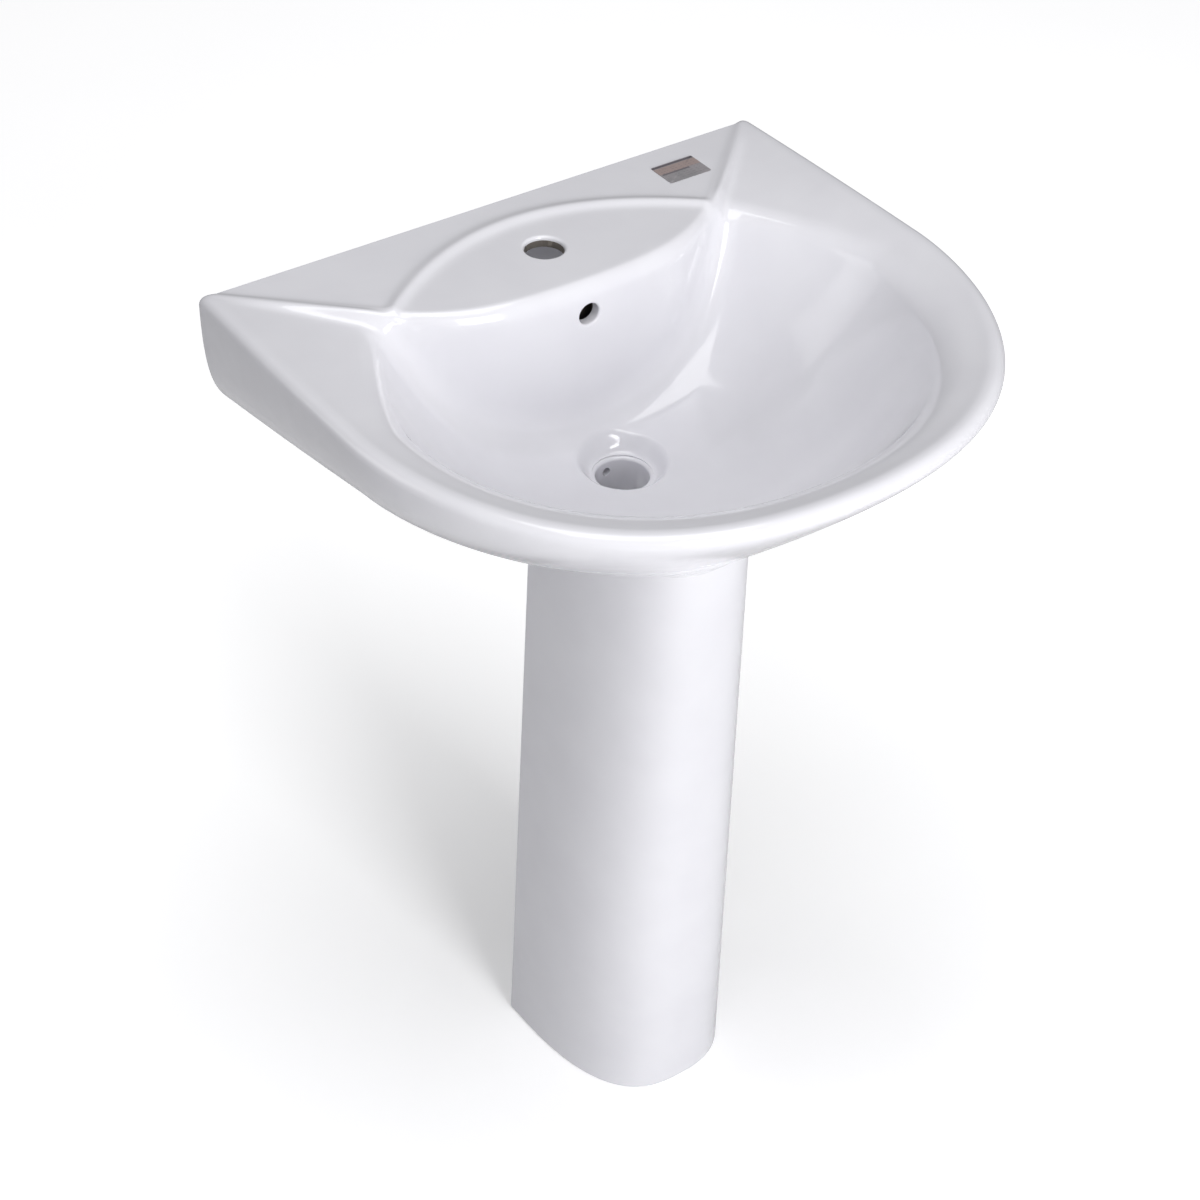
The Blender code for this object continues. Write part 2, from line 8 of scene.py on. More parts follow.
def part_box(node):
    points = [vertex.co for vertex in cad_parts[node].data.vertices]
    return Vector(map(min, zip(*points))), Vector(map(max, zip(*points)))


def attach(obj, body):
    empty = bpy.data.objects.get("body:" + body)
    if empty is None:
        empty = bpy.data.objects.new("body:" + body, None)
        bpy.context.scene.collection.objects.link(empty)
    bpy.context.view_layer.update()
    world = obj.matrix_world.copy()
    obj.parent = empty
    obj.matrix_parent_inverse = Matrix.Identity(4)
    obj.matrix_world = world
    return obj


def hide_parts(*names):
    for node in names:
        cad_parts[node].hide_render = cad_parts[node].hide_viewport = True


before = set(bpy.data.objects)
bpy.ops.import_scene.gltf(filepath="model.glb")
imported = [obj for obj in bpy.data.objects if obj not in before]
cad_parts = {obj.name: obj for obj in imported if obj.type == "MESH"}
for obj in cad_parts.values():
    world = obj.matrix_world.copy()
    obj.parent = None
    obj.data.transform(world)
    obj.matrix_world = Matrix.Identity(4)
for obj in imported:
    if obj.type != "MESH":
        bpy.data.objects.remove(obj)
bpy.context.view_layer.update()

# the basin's own frame: x across, y = 0 on the wall face, z = 0 at the rim
basinLow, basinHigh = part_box("basin")
pedestalLow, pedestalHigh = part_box("pedestal")
wallY, rimHeight = basinHigh.y, basinHigh.z
basinPlace = Vector((0, wallY, rimHeight))
pedestalPlace = Vector((0, pedestalHigh.y, 0))


# mesh helpers

def outward(mesh):
    shape = bmesh.new()
    shape.from_mesh(mesh)
    bmesh.ops.remove_doubles(shape, verts=shape.verts, dist=1e-6)
    bmesh.ops.recalc_face_normals(shape, faces=shape.faces)
    shape.to_mesh(mesh)
    shape.free()
    return mesh


def loft(name, rings, start=None, end=None, wrap=False):  # skins closed rings of equal length
    rings = np.array(rings, float)
    count, around = rings.shape[:2]
    points = rings.reshape(-1, 3).tolist()
    rows = np.arange(count if wrap else count - 1)[:, None]
    here = np.arange(around)[None, :]
    after = (here + 1) % around
    nextRow = (rows + 1) % count
    faces = np.stack([rows * around + here, rows * around + after,
                      nextRow * around + after, nextRow * around + here], 2).reshape(-1, 4).tolist()
    for tip, base in ((start, 0), (end, (count - 1) * around)):
        if tip is not None:
            points.append(tip)
            faces += [[base + i, base + (i + 1) % around, len(points) - 1] for i in range(around)]
    mesh = bpy.data.meshes.new(name)
    mesh.from_pydata(points, [], faces)
    return outward(mesh)


def turned(name, profile, segments=72, closed=False):  # (radius, height) points turned round +Z
    angles = np.linspace(0, 2 * pi, segments, endpoint=False)
    rings = [[(r * cos(a), r * sin(a), z) for a in angles] for r, z in profile]
    if closed:
        return loft(name, rings, wrap=True)
    return loft(name, rings, (0, 0, profile[0][1]), (0, 0, profile[-1][1]))


def roundedBox(name, low, high, radius, steps=3):
    shape = bmesh.new()
    bmesh.ops.create_cube(shape, size=1)
    for vert in shape.verts:
        vert.co = [low[k] + (vert.co[k] + 0.5) * (high[k] - low[k]) for k in range(3)]
    if radius:
        bmesh.ops.bevel(shape, geom=shape.edges[:], offset=radius, segments=steps, profile=0.5, affect="EDGES")
    mesh = bpy.data.meshes.new(name)
    shape.to_mesh(mesh)
    shape.free()
    return mesh


def arc(centre, radius, first, last, steps):  # points of an arc in a profile, angles in degrees
    return [(centre[0] + radius * cos(radians(a)), centre[1] + radius * sin(radians(a)))
            for a in np.linspace(first, last, steps + 1)]


def newObject(name, mesh, finish=None):
    made = bpy.data.objects.new(name, mesh)
    bpy.context.scene.collection.objects.link(made)
    if finish is not None:
        mesh.materials.append(finish)
    return made


def settle(piece):  # turns a piece's modifiers into its plain mesh
    bpy.context.view_layer.update()
    evaluated = piece.evaluated_get(bpy.context.evaluated_depsgraph_get())
    mesh = bpy.data.meshes.new_from_object(evaluated)
    piece.modifiers.clear()
    piece.data = mesh
    return piece


def combine(piece, mesh, how, place=(0, 0, 0), turn=(0, 0, 0), finish=None):
    tool = newObject("tool", mesh, finish)
    tool.matrix_world = Matrix.Translation(place) @ Matrix.LocRotScale(None, tool.rotation_euler.to_matrix(), None)
    tool.location, tool.rotation_euler = place, turn
    step = piece.modifiers.new("cut", "BOOLEAN")
    step.operation, step.solver, step.object = how, "EXACT", tool
    step.material_mode = "TRANSFER"
    settle(piece)
    bpy.data.objects.remove(tool, do_unlink=True)


def smoothShade(piece, angle=32):
    piece.data.shade_smooth()
    piece.data.set_sharp_from_angle(angle=radians(angle))


def place(piece, node, slotName, shift=None):  # moves the mesh, then hands the piece to the frame
    if shift is not None:
        piece.data.transform(Matrix.Translation(shift))
    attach(piece, "root")
    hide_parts(*([node] if isinstance(node, str) else node))


# materials

def newGroup(name, inputs, outputs):
    tree = bpy.data.node_groups.new(name, "ShaderNodeTree")
    for label, kind, default in inputs:
        socket = tree.interface.new_socket(label, in_out="INPUT", socket_type=kind)
        socket.default_value = default
    for label, kind in outputs:
        tree.interface.new_socket(label, in_out="OUTPUT", socket_type=kind)
    return tree, tree.nodes.new("NodeGroupInput"), tree.nodes.new("NodeGroupOutput")


def node(tree, kind, inputs=None, **settings):
    made = tree.nodes.new(kind)
    for key, value in settings.items():
        setattr(made, key, value)
    for key, value in (inputs or {}).items():
        if isinstance(value, bpy.types.NodeSocket):
            tree.links.new(value, made.inputs[key])
        else:
            made.inputs[key].default_value = value
    return made


def maths(tree, operation, a, b=0.0, c=0.0):
    return node(tree, "ShaderNodeMath", {0: a, 1: b, 2: c}, operation=operation).outputs[0]


def ramp(tree, value, low, high, toLow=0.0, toHigh=1.0):
    return node(tree, "ShaderNodeMapRange", {"Value": value, "From Min": low, "From Max": high,
                                             "To Min": toLow, "To Max": toHigh}).outputs["Result"]


def mixColour(tree, share, first, second, how="MIX"):
    made = tree.nodes.new("ShaderNodeMix")
    made.data_type, made.blend_type = "RGBA", how
    for index, value in ((0, share), (6, first), (7, second)):
        if isinstance(value, bpy.types.NodeSocket):
            tree.links.new(value, made.inputs[index])
        else:
            made.inputs[index].default_value = value
    return made.outputs[2]


def surfaceFlow():  # the slow waviness of a poured or moulded skin, as a height and a cloudy mask
    tree, inside, out = newGroup("surfaceFlow", [
        ("Position", "NodeSocketVector", (0, 0, 0)), ("Wave size", "NodeSocketFloat", 0.05),
        ("Ripple size", "NodeSocketFloat", 0.006), ("Ripple share", "NodeSocketFloat", 0.1)],
        [("Height", "NodeSocketFloat"), ("Cloud", "NodeSocketFloat")])
    wave = node(tree, "ShaderNodeTexNoise", {"Vector": inside.outputs["Position"], "Detail": 2.0,
                "Scale": maths(tree, "DIVIDE", 1.0, inside.outputs["Wave size"])})
    ripple = node(tree, "ShaderNodeTexNoise", {"Vector": inside.outputs["Position"], "Detail": 1.0,
                  "Scale": maths(tree, "DIVIDE", 1.0, inside.outputs["Ripple size"])})
    height = maths(tree, "MULTIPLY_ADD", ripple.outputs["Fac"], inside.outputs["Ripple share"], wave.outputs["Fac"])
    tree.links.new(height, out.inputs["Height"])
    tree.links.new(ramp(tree, wave.outputs["Fac"], 0.35, 0.65), out.inputs["Cloud"])
    return tree


def fineSpecks():  # sparse small dots, for iron specks, grit and foam cells
    tree, inside, out = newGroup("fineSpecks", [
        ("Position", "NodeSocketVector", (0, 0, 0)), ("Spacing", "NodeSocketFloat", 0.01),
        ("Dot share", "NodeSocketFloat", 0.12)], [("Dots", "NodeSocketFloat")])
    cells = node(tree, "ShaderNodeTexVoronoi", {"Vector": inside.outputs["Position"],
                 "Scale": maths(tree, "DIVIDE", 1.0, inside.outputs["Spacing"])})
    near = maths(tree, "SUBTRACT", inside.outputs["Dot share"], cells.outputs["Distance"])
    tree.links.new(ramp(tree, maths(tree, "DIVIDE", near, inside.outputs["Dot share"]), 0.0, 0.5), out.inputs["Dots"])
    return tree


flowGroup, speckGroup = surfaceFlow(), fineSpecks()


def startMaterial(name, baseRoughness, metallic=0.0):
    made = bpy.data.materials.new(name)
    made.use_nodes = True
    tree = made.node_tree
    shader = tree.nodes["Principled BSDF"]
    shader.inputs["Roughness"].default_value = baseRoughness
    shader.inputs["Metallic"].default_value = metallic
    position = node(tree, "ShaderNodeTexCoord").outputs["Object"]
    return made, tree, shader, position


def useGroup(tree, group, inputs):
    made = tree.nodes.new("ShaderNodeGroup")
    made.node_tree = group
    for key, value in inputs.items():
        if isinstance(value, bpy.types.NodeSocket):
            tree.links.new(value, made.inputs[key])
        else:
            made.inputs[key].default_value = value
    return made


def addBump(tree, shader, height, distance, strength):
    bump = node(tree, "ShaderNodeBump", {"Height": height, "Distance": distance, "Strength": strength})
    tree.links.new(bump.outputs["Normal"], shader.inputs["Normal"])


glaze = dict(tone=(0.81, 0.807, 0.845, 1), deepTone=(0.79, 0.786, 0.826, 1), speck=(0.60, 0.57, 0.53, 1),
             waveSize=0.06, rippleSize=0.007, rippleShare=0.05, bump=0.0012,
             smooth=0.09, dull=0.14, speckSpacing=0.07, speckShare=0.006)


def glazedChina():
    made, tree, shader, position = startMaterial("glazedChina", glaze["smooth"])
    flow = useGroup(tree, flowGroup, {"Position": position, "Wave size": glaze["waveSize"],
                    "Ripple size": glaze["rippleSize"], "Ripple share": glaze["rippleShare"]})
    specks = useGroup(tree, speckGroup, {"Position": position, "Spacing": glaze["speckSpacing"],
                      "Dot share": glaze["speckShare"]})
    colour = mixColour(tree, flow.outputs["Cloud"], glaze["tone"], glaze["deepTone"])
    colour = mixColour(tree, maths(tree, "MULTIPLY", specks.outputs["Dots"], 0.5), colour, glaze["speck"])
    tree.links.new(colour, shader.inputs["Base Color"])
    tree.links.new(ramp(tree, flow.outputs["Cloud"], 0, 1, glaze["smooth"], glaze["dull"]),
                   shader.inputs["Roughness"])
    addBump(tree, shader, flow.outputs["Height"], glaze["bump"], 0.5)
    shader.inputs["IOR"].default_value = 1.52
    shader.inputs["Coat Weight"].default_value = 0.2
    shader.inputs["Coat Roughness"].default_value = 0.07
    return made


# the bare china's tone and stain are painted shade: far darker than unglazed china's own off-white, standing in for the
# shade inside the hollow and its holes
bareShadeTones = dict(tone=(0.19, 0.172, 0.155, 1), stain=(0.14, 0.125, 0.11, 1), grit=(0.07, 0.06, 0.052, 1))


def bareChinaPaintedShade():  # the unglazed inside of the casting, its tone darkened as painted shade for the shade inside the hollow, with grit specks
    made, tree, shader, position = startMaterial("bareChinaPaintedShade", 0.7)
    flow = useGroup(tree, flowGroup, {"Position": position, "Wave size": 0.045, "Ripple size": 0.0015,
                                      "Ripple share": 0.35})
    grit = useGroup(tree, speckGroup, {"Position": position, "Spacing": 0.006, "Dot share": 0.10})
    colour = mixColour(tree, flow.outputs["Cloud"], bareShadeTones["tone"], bareShadeTones["stain"])
    colour = mixColour(tree, maths(tree, "MULTIPLY", grit.outputs["Dots"], 0.45), colour, bareShadeTones["grit"])
    tree.links.new(colour, shader.inputs["Base Color"])
    tree.links.new(ramp(tree, flow.outputs["Cloud"], 0, 1, 0.6, 0.82), shader.inputs["Roughness"])
    addBump(tree, shader, flow.outputs["Height"], 0.002, 0.5)
    return made


def zincSteel():
    made, tree, shader, position = startMaterial("zincSteel", 0.3, 1.0)
    flow = useGroup(tree, flowGroup, {"Position": position, "Wave size": 0.012, "Ripple size": 0.0009,
                                      "Ripple share": 0.5})
    spangle = useGroup(tree, speckGroup, {"Position": position, "Spacing": 0.0025, "Dot share": 0.5})
    colour = mixColour(tree, flow.outputs["Cloud"], (0.66, 0.67, 0.69, 1), (0.54, 0.545, 0.55, 1))
    colour = mixColour(tree, maths(tree, "MULTIPLY", spangle.outputs["Dots"], 0.3), colour, (0.74, 0.75, 0.78, 1))
    tree.links.new(colour, shader.inputs["Base Color"])
    tree.links.new(ramp(tree, spangle.outputs["Dots"], 0, 1, 0.38, 0.24), shader.inputs["Roughness"])
    addBump(tree, shader, flow.outputs["Height"], 0.0003, 0.4)
    return made


def whiteNylon():
    made, tree, shader, position = startMaterial("whiteNylon", 0.42)
    flow = useGroup(tree, flowGroup, {"Position": position, "Wave size": 0.02, "Ripple size": 0.0012,
                                      "Ripple share": 0.4})
    colour = mixColour(tree, flow.outputs["Cloud"], (0.84, 0.83, 0.79, 1), (0.78, 0.765, 0.71, 1))
    tree.links.new(colour, shader.inputs["Base Color"])
    tree.links.new(ramp(tree, flow.outputs["Cloud"], 0, 1, 0.38, 0.5), shader.inputs["Roughness"])
    addBump(tree, shader, flow.outputs["Height"], 0.0003, 0.3)
    shader.inputs["Subsurface Weight"].default_value = 0.1
    shader.inputs["Subsurface Radius"].default_value = (0.002, 0.002, 0.0015)
    return made


def foamStrip():
    made, tree, shader, position = startMaterial("foamStrip", 0.85)
    cells = useGroup(tree, speckGroup, {"Position": position, "Spacing": 0.0012, "Dot share": 0.55})
    flow = useGroup(tree, flowGroup, {"Position": position, "Wave size": 0.03, "Ripple size": 0.001,
                                      "Ripple share": 0.5})
    colour = mixColour(tree, cells.outputs["Dots"], (0.70, 0.70, 0.68, 1), (0.52, 0.52, 0.50, 1))
    colour = mixColour(tree, maths(tree, "MULTIPLY", flow.outputs["Cloud"], 0.3), colour, (0.60, 0.58, 0.53, 1))
    tree.links.new(colour, shader.inputs["Base Color"])
    addBump(tree, shader, maths(tree, "SUBTRACT", flow.outputs["Height"], cells.outputs["Dots"]), 0.0005, 0.6)
    return made


# basin: the same outline and height rules as the cast solid, much finer

basin = dict(width=basinHigh.x - basinLow.x, depth=basinHigh.y - basinLow.y,
             cornerPinch=0.0034, cornerRadius=0.006, widestBack=0.242, sideRim=0.052, frontRim=0.046,
             mouthCentreBack=0.2456, mouthRearReach=0.289, mouthPowerFront=2.13, mouthPowerRear=1.48,
             lensCornerX=0.167, lensCornerBack=0.109, lensFrontBack=0.158, lensApexBack=0.0375,
             rimEdgeRadius=0.009, rimDish=0.012, deckDrop=0.0025, lensDrop=0.0035, ridgeHalfWidth=0.008,
             bowlDepth=0.154, bowlPower=3.0, bowlFillet=0.032, edgeBlend=0.012,
             chinaWall=0.010, seatRim=0.008, seatClear=0.0035, backWallDrop=0.150, footRound=0.003,
             bellyUpright=(0.85, 0.52, 0.09), bellySpread=(0.63, 0.54, 0.13), bellyRise=(0.36, 0.33, 0.14),
             hollowFrontBack=0.235, undersideHalfWidth=0.225, eyeHeight=0.12, edgeFade=0.035, mouthSoftness=0.12)
drain = dict(back=0.213, holeRadius=0.0235, recessInner=0.0275, recessOuter=0.0415, recessDepth=0.013,
             bossWall=0.013, bossLength=0.050, lip=0.003, weepRadius=0.004, weepDrop=0.179)
overflow = dict(radius=0.0100, drop=0.034, lip=0.0022, channel=0.014, channelWidth=0.036, wall=0.008)
tapHole = dict(radius=0.0175, back=0.089, lip=0.0028, glazed=0.0036)
pedestal = dict(footHalfWidth=pedestalHigh.x, footLength=pedestalHigh.y - pedestalLow.y,
                topHalfWidth=0.0758, topLength=0.1670, height=pedestalHigh.z, back=wallY - pedestalHigh.y,
                power=2.8, wall=0.013, edge=0.0035, pathSteps=220, heightSteps=90, seatOverhang=0.006,
                lug=0.030, lugHeight=0.016, lugLift=0.004, lugSetBack=0.004, slotRadius=0.004)
seatDrop = basin["bowlDepth"] + basin["chinaWall"] + basin["seatClear"] + basin["seatRim"]
bossDrop = basin["bowlDepth"] + drain["bossLength"]
drainAxis = np.array([0.0, -drain["back"]])
outlineSteps = dict(front=260, side=220, corner=40, back=200)


def bezier(p0, p1, p2, p3, count):
    t = np.linspace(0, 1, count + 1)[:, None]
    points = [np.array(p, float) for p in (p0, p1, p2, p3)]
    return ((1 - t) ** 3 * points[0] + 3 * (1 - t) ** 2 * t * points[1]
            + 3 * (1 - t) * t ** 2 * points[2] + t ** 3 * points[3])


def cornerAndBack(halfWidth, backY, radius):
    angles = np.linspace(0, pi / 2, outlineSteps["corner"] + 1)[1:]
    corner = np.stack([halfWidth - radius + radius * np.cos(angles), backY - radius + radius * np.sin(angles)], 1)
    along = np.linspace(1, 0, outlineSteps["back"] + 1)[1:, None]
    return np.vstack([corner, np.hstack([(halfWidth - radius) * along, np.full_like(along, backY)])])


def rimHalf(inset):  # right half of the rim's outer edge, from the front to the wall
    widest = basin["width"] / 2 - inset
    front, sideStart = basin["depth"] - inset, inset + basin["cornerRadius"]
    nose, sideRun = front - basin["widestBack"], basin["widestBack"] - sideStart
    bend = -basin["widestBack"]
    frontPart = bezier((0, -front), (0.876 * widest, -front), (widest, bend - 0.235 * nose), (widest, bend),
                       outlineSteps["front"])
    sidePart = bezier((widest, bend), (widest, bend + 0.26 * sideRun), (widest, -sideStart - 0.47 * sideRun),
                      (widest - basin["cornerPinch"], -sideStart), outlineSteps["side"])
    return np.vstack([frontPart, sidePart[1:],
                      cornerAndBack(widest - basin["cornerPinch"], -inset, basin["cornerRadius"])])


def halfEllipse(halfWidth, length, power, count):
    angles = np.linspace(pi / 2, 0, count + 1)
    return np.stack([halfWidth * np.cos(angles).clip(0) ** (2 / power),
                     -length * np.sin(angles).clip(0) ** (2 / power)], 1)


def undersideHalf(inset):  # the lower edge: round the pedestal's top, then flaring back to the wall
    proud = pedestal["seatOverhang"] - inset
    seat = halfEllipse(pedestal["topHalfWidth"] + proud, pedestal["topLength"] + proud, pedestal["power"],
                       outlineSteps["front"])
    seat[:, 1] -= pedestal["back"]
    corner = basin["undersideHalfWidth"] - inset
    share = np.linspace(0, 1, outlineSteps["side"] + 1)[1:, None]
    flare = seat[-1] + (np.array([corner, -inset - basin["cornerRadius"]]) - seat[-1]) * share
    return np.vstack([seat, flare, cornerAndBack(corner, -inset, basin["cornerRadius"])])


def undersideHeights():
    seat = np.full(outlineSteps["front"] + 1, -seatDrop)
    flare = np.linspace(-seatDrop, -basin["backWallDrop"], outlineSteps["side"] + 1)[1:]
    return np.concatenate([seat, flare, np.full(outlineSteps["corner"] + outlineSteps["back"],
                                                -basin["backWallDrop"])])


def chooseSteps(widest, narrowest, narrowFrom):  # where along the outline the sections stand
    half = rimHalf(basin["rimEdgeRadius"])
    travelled = np.concatenate([[0], np.cumsum(np.hypot(*np.diff(half, axis=0).T))])
    sideEnd = travelled[outlineSteps["front"] + outlineSteps["side"]]
    narrowStart = np.interp(narrowFrom, half[outlineSteps["front"]:outlineSteps["front"] + outlineSteps["side"], 1],
                            travelled[outlineSteps["front"]:outlineSteps["front"] + outlineSteps["side"]])
    narrowEnd = sideEnd + 0.03
    away = np.maximum(np.maximum(narrowStart - travelled, travelled - narrowEnd), 0)
    spacing = np.minimum(narrowest + 0.09 * away, widest)
    load = np.concatenate([[0], np.cumsum(np.diff(travelled) / spacing[1:])])
    count = int(round(load[-1]))
    return np.interp(np.linspace(0, load[-1], count + 1), load, np.arange(len(half)))


fineSteps = chooseSteps(0.0058, 0.0016, -0.085)
coarseSteps = chooseSteps(0.014, 0.005, -0.085)


def pick(values, steps):
    index = np.arange(len(values))
    if values.ndim == 1:
        return np.interp(steps, index, values)
    return np.stack([np.interp(steps, index, values[:, k]) for k in range(values.shape[1])], 1)


def closed(half):  # mirrors a right half to the left and closes it
    return np.vstack([half, half[1:-1][::-1] * [-1, 1]])


def rimOutline(inset, steps):
    return closed(pick(rimHalf(inset), steps))


def undersideOutline(inset, steps):
    return closed(pick(undersideHalf(inset), steps))


def undersideHeight(steps):
    half = pick(undersideHeights(), steps)
    return np.concatenate([half, half[1:-1][::-1]])


lensFront = bezier((0, basin["lensFrontBack"]), (0.085, basin["lensFrontBack"]),
                   (basin["lensCornerX"] - 0.042, basin["lensCornerBack"] + 0.038),
                   (basin["lensCornerX"], basin["lensCornerBack"]), 200)
lensFront = np.vstack([lensFront, [basin["width"] / 2 - basin["cornerPinch"], 0]])


def deckFront(x):
    return np.interp(np.abs(x), lensFront[:, 0], lensFront[:, 1])


def smoothStep(low, high, value):
    t = np.clip((value - low) / (high - low), 0, 1)
    return t * t * (3 - 2 * t)


def smoothMin(a, b, blend):
    near = np.maximum(blend - np.abs(a - b), 0) / blend
    return np.minimum(a, b) - near * near * blend / 4


def mouthRatio(x, y, grow):  # 0 in the middle of the bowl's mouth, 1 on its edge
    ahead = -y - basin["mouthCentreBack"]
    front = basin["depth"] - basin["frontRim"] - basin["mouthCentreBack"]
    reach = np.where(ahead > 0, front, basin["mouthRearReach"]) + grow
    power = np.where(ahead > 0, basin["mouthPowerFront"], basin["mouthPowerRear"])
    half = basin["width"] / 2 - basin["sideRim"] + grow
    return ((np.abs(x) / half) ** power + (np.abs(ahead) / reach) ** power) ** (1 / power)


def topHeight(x, y, distance, mouthDistance, edgeDistance):
    ridge = basin["ridgeHalfWidth"]
    share = (distance - mouthDistance) / np.maximum(edgeDistance - mouthDistance, 0.02)
    share = (share + np.sqrt(share ** 2 + basin["mouthSoftness"] ** 2)) / 2  # no crease where the dish ends
    rim = basin["rimDish"] * (1 - np.clip(share, 0, 1)) ** 1.2
    behind = (deckFront(x) + y) * 0.74
    apex, corner = basin["lensApexBack"], basin["lensCornerBack"]
    insideLens = (-y - apex - (corner - apex) * (x / basin["lensCornerX"]) ** 2) * 0.9
    deck = basin["deckDrop"] + (basin["lensDrop"] - basin["deckDrop"]) * smoothStep(-ridge, ridge, insideLens)
    drop = rim + (deck - rim) * smoothStep(-ridge, ridge, behind)
    outOfLens = smoothStep(basin["lensCornerX"] - 0.02, basin["lensCornerX"], np.abs(x))
    inLens = 1 - smoothStep(basin["lensCornerX"] - 0.004, basin["lensCornerX"] + 0.012, np.abs(x))
    edgeY = (y - drainAxis[1]) * edgeDistance / np.maximum(distance, 0.001) + drainAxis[1]
    atEdge = smoothStep(0, basin["edgeFade"], -edgeY - basin["rimEdgeRadius"])
    for gap, weight in ((behind, outOfLens), (insideLens, inLens), (edgeDistance - distance, atEdge)):
        drop = drop * (1 - weight * np.exp(-1.5 * (gap / ridge) ** 2))
    return -drop


def aboveSurface(x, y, z, distance, mouthDistance, edgeDistance, grow):  # positive in the air
    ratio = mouthRatio(x, y, grow)
    hollow = basin["bowlDepth"] - basin["rimDish"]
    floor = -basin["rimDish"] - hollow * (1 - ratio ** basin["bowlPower"]) - grow
    sunk = 1 - smoothStep(drain["recessInner"] + grow, drain["recessOuter"] + grow, distance)
    floor = floor - drain["recessDepth"] * sunk
    fromCentre = np.maximum(np.hypot(x, y + basin["mouthCentreBack"]), 0.001)
    slope = basin["bowlPower"] * hollow * ratio ** basin["bowlPower"] / fromCentre
    overFloor = (z - floor) / np.sqrt(1 + slope ** 2)
    beforeWall = (-y - deckFront(x) + grow) * 0.9
    overBowl = smoothMin(overFloor, beforeWall, basin["bowlFillet"])
    overTop = z + grow - topHeight(x, y, distance, mouthDistance, edgeDistance)
    return -smoothMin(-overBowl, -overTop, basin["edgeBlend"])


def crossing(air, far, steps=30):
    near, far = np.zeros_like(far), far
    for _ in range(steps):
        middle = (near + far) / 2
        outside = air(middle) > 0
        near, far = np.where(outside, middle, near), np.where(outside, far, middle)
    return (near + far) / 2


def upperRings(grow, rings, steps):  # rays from an eye over the drain, spaced evenly along the surface
    crest = rimOutline(basin["rimEdgeRadius"] + grow, steps)
    offset = crest - drainAxis
    edge = np.hypot(offset[:, 0], offset[:, 1])[:, None]
    across, along = offset[:, :1] / edge, offset[:, 1:] / edge
    eye = basin["eyeHeight"]
    mouth = crossing(lambda d: 1 - mouthRatio(across * d, drainAxis[1] + along * d, grow), np.full_like(edge, 0.6))

    def surface(tilt):
        def air(reach):
            distance, height = reach * np.sin(tilt), eye - reach * np.cos(tilt)
            return aboveSurface(across * distance, drainAxis[1] + along * distance, height,
                                distance, mouth, edge, grow)
        reach = crossing(air, np.full_like(tilt, 0.9))
        return reach * np.sin(tilt), eye - reach * np.cos(tilt)

    tilt = np.arctan2(edge, eye + grow) * np.linspace(0, 1, 301)[None, :]
    distance, height = surface(tilt)
    run, fall = np.diff(distance, axis=1), np.diff(height, axis=1)
    bend = np.abs(np.diff(np.unwrap(np.arctan2(fall, run), axis=1), axis=1)).clip(0, 0.4)
    spacing = np.hypot(run, fall)
    spacing[:, 1:] += 0.02 * bend
    travelled = np.hstack([np.zeros_like(edge), np.cumsum(spacing, axis=1)])
    shares = np.linspace(0, 1, rings + 1)[1:]
    even = np.array([np.interp(shares * line[-1], line, row) for line, row in zip(travelled, tilt)])
    spread = even / tilt[:, -1:]
    for _ in range(60):  # evens out the spacing from section to section
        spread = (np.roll(spread, 1, 0) + 2 * spread + np.roll(spread, -1, 0)) / 4
    distance, height = surface(spread * tilt[:, -1:])
    points = np.stack([across * distance, drainAxis[1] + along * distance, height], 2)
    return [points[:, k] for k in range(rings)]


def belly(inset, shoulder, lift, rings, steps):  # rings of the underside, from the rim's edge downwards
    edge, under = rimOutline(inset, steps), undersideOutline(inset, steps)
    top = np.column_stack([edge, np.broadcast_to(shoulder, len(edge))])
    low = np.column_stack([under, undersideHeight(steps) + lift])
    f = np.clip(-edge[:, 1] / basin["depth"], 0, 1)
    upright, spread, rise = ((back * (1 - f) ** 2 + 2 * middle * f * (1 - f) + front * f ** 2)[:, None]
                             for back, middle, front in (basin["bellyUpright"], basin["bellySpread"],
                                                         basin["bellyRise"]))
    below = top + (low - top) * np.hstack([0 * upright, 0 * upright, upright])
    before = low + (top - low) * np.hstack([spread, spread, rise])
    return [(1 - t) ** 3 * top + 3 * (1 - t) ** 2 * t * below + 3 * (1 - t) * t ** 2 * before + t ** 3 * low
            for t in np.linspace(0, 1, rings + 1)]


def levelRing(outline, height):
    return np.column_stack([outline, np.broadcast_to(height, len(outline))])


def solidBasin():
    rings = upperRings(0.0, 150, fineSteps)
    crest, edge = rimOutline(basin["rimEdgeRadius"], fineSteps), rimOutline(0.0, fineSteps)
    crestHeight = rings[-1][:, 2]
    for angle in np.linspace(0, pi / 2, 9)[1:-1]:
        rings.append(levelRing(crest + (edge - crest) * sin(angle),
                               crestHeight - basin["rimEdgeRadius"] * (1 - cos(angle))))
    round_ = basin["footRound"]
    rings += belly(0.0, crestHeight - basin["rimEdgeRadius"], round_, 44, fineSteps)
    outer, inner = undersideOutline(0.0, fineSteps), undersideOutline(round_, fineSteps)
    for angle in np.linspace(0, pi / 2, 5)[1:]:
        rings.append(levelRing(outer + (inner - outer) * (1 - cos(angle)),
                               undersideHeight(fineSteps) + round_ * (1 - sin(angle))))
    return loft("basinSolid", rings, (0, drainAxis[1], -basin["bowlDepth"] - drain["recessDepth"]),
                (0, drainAxis[1], -seatDrop))


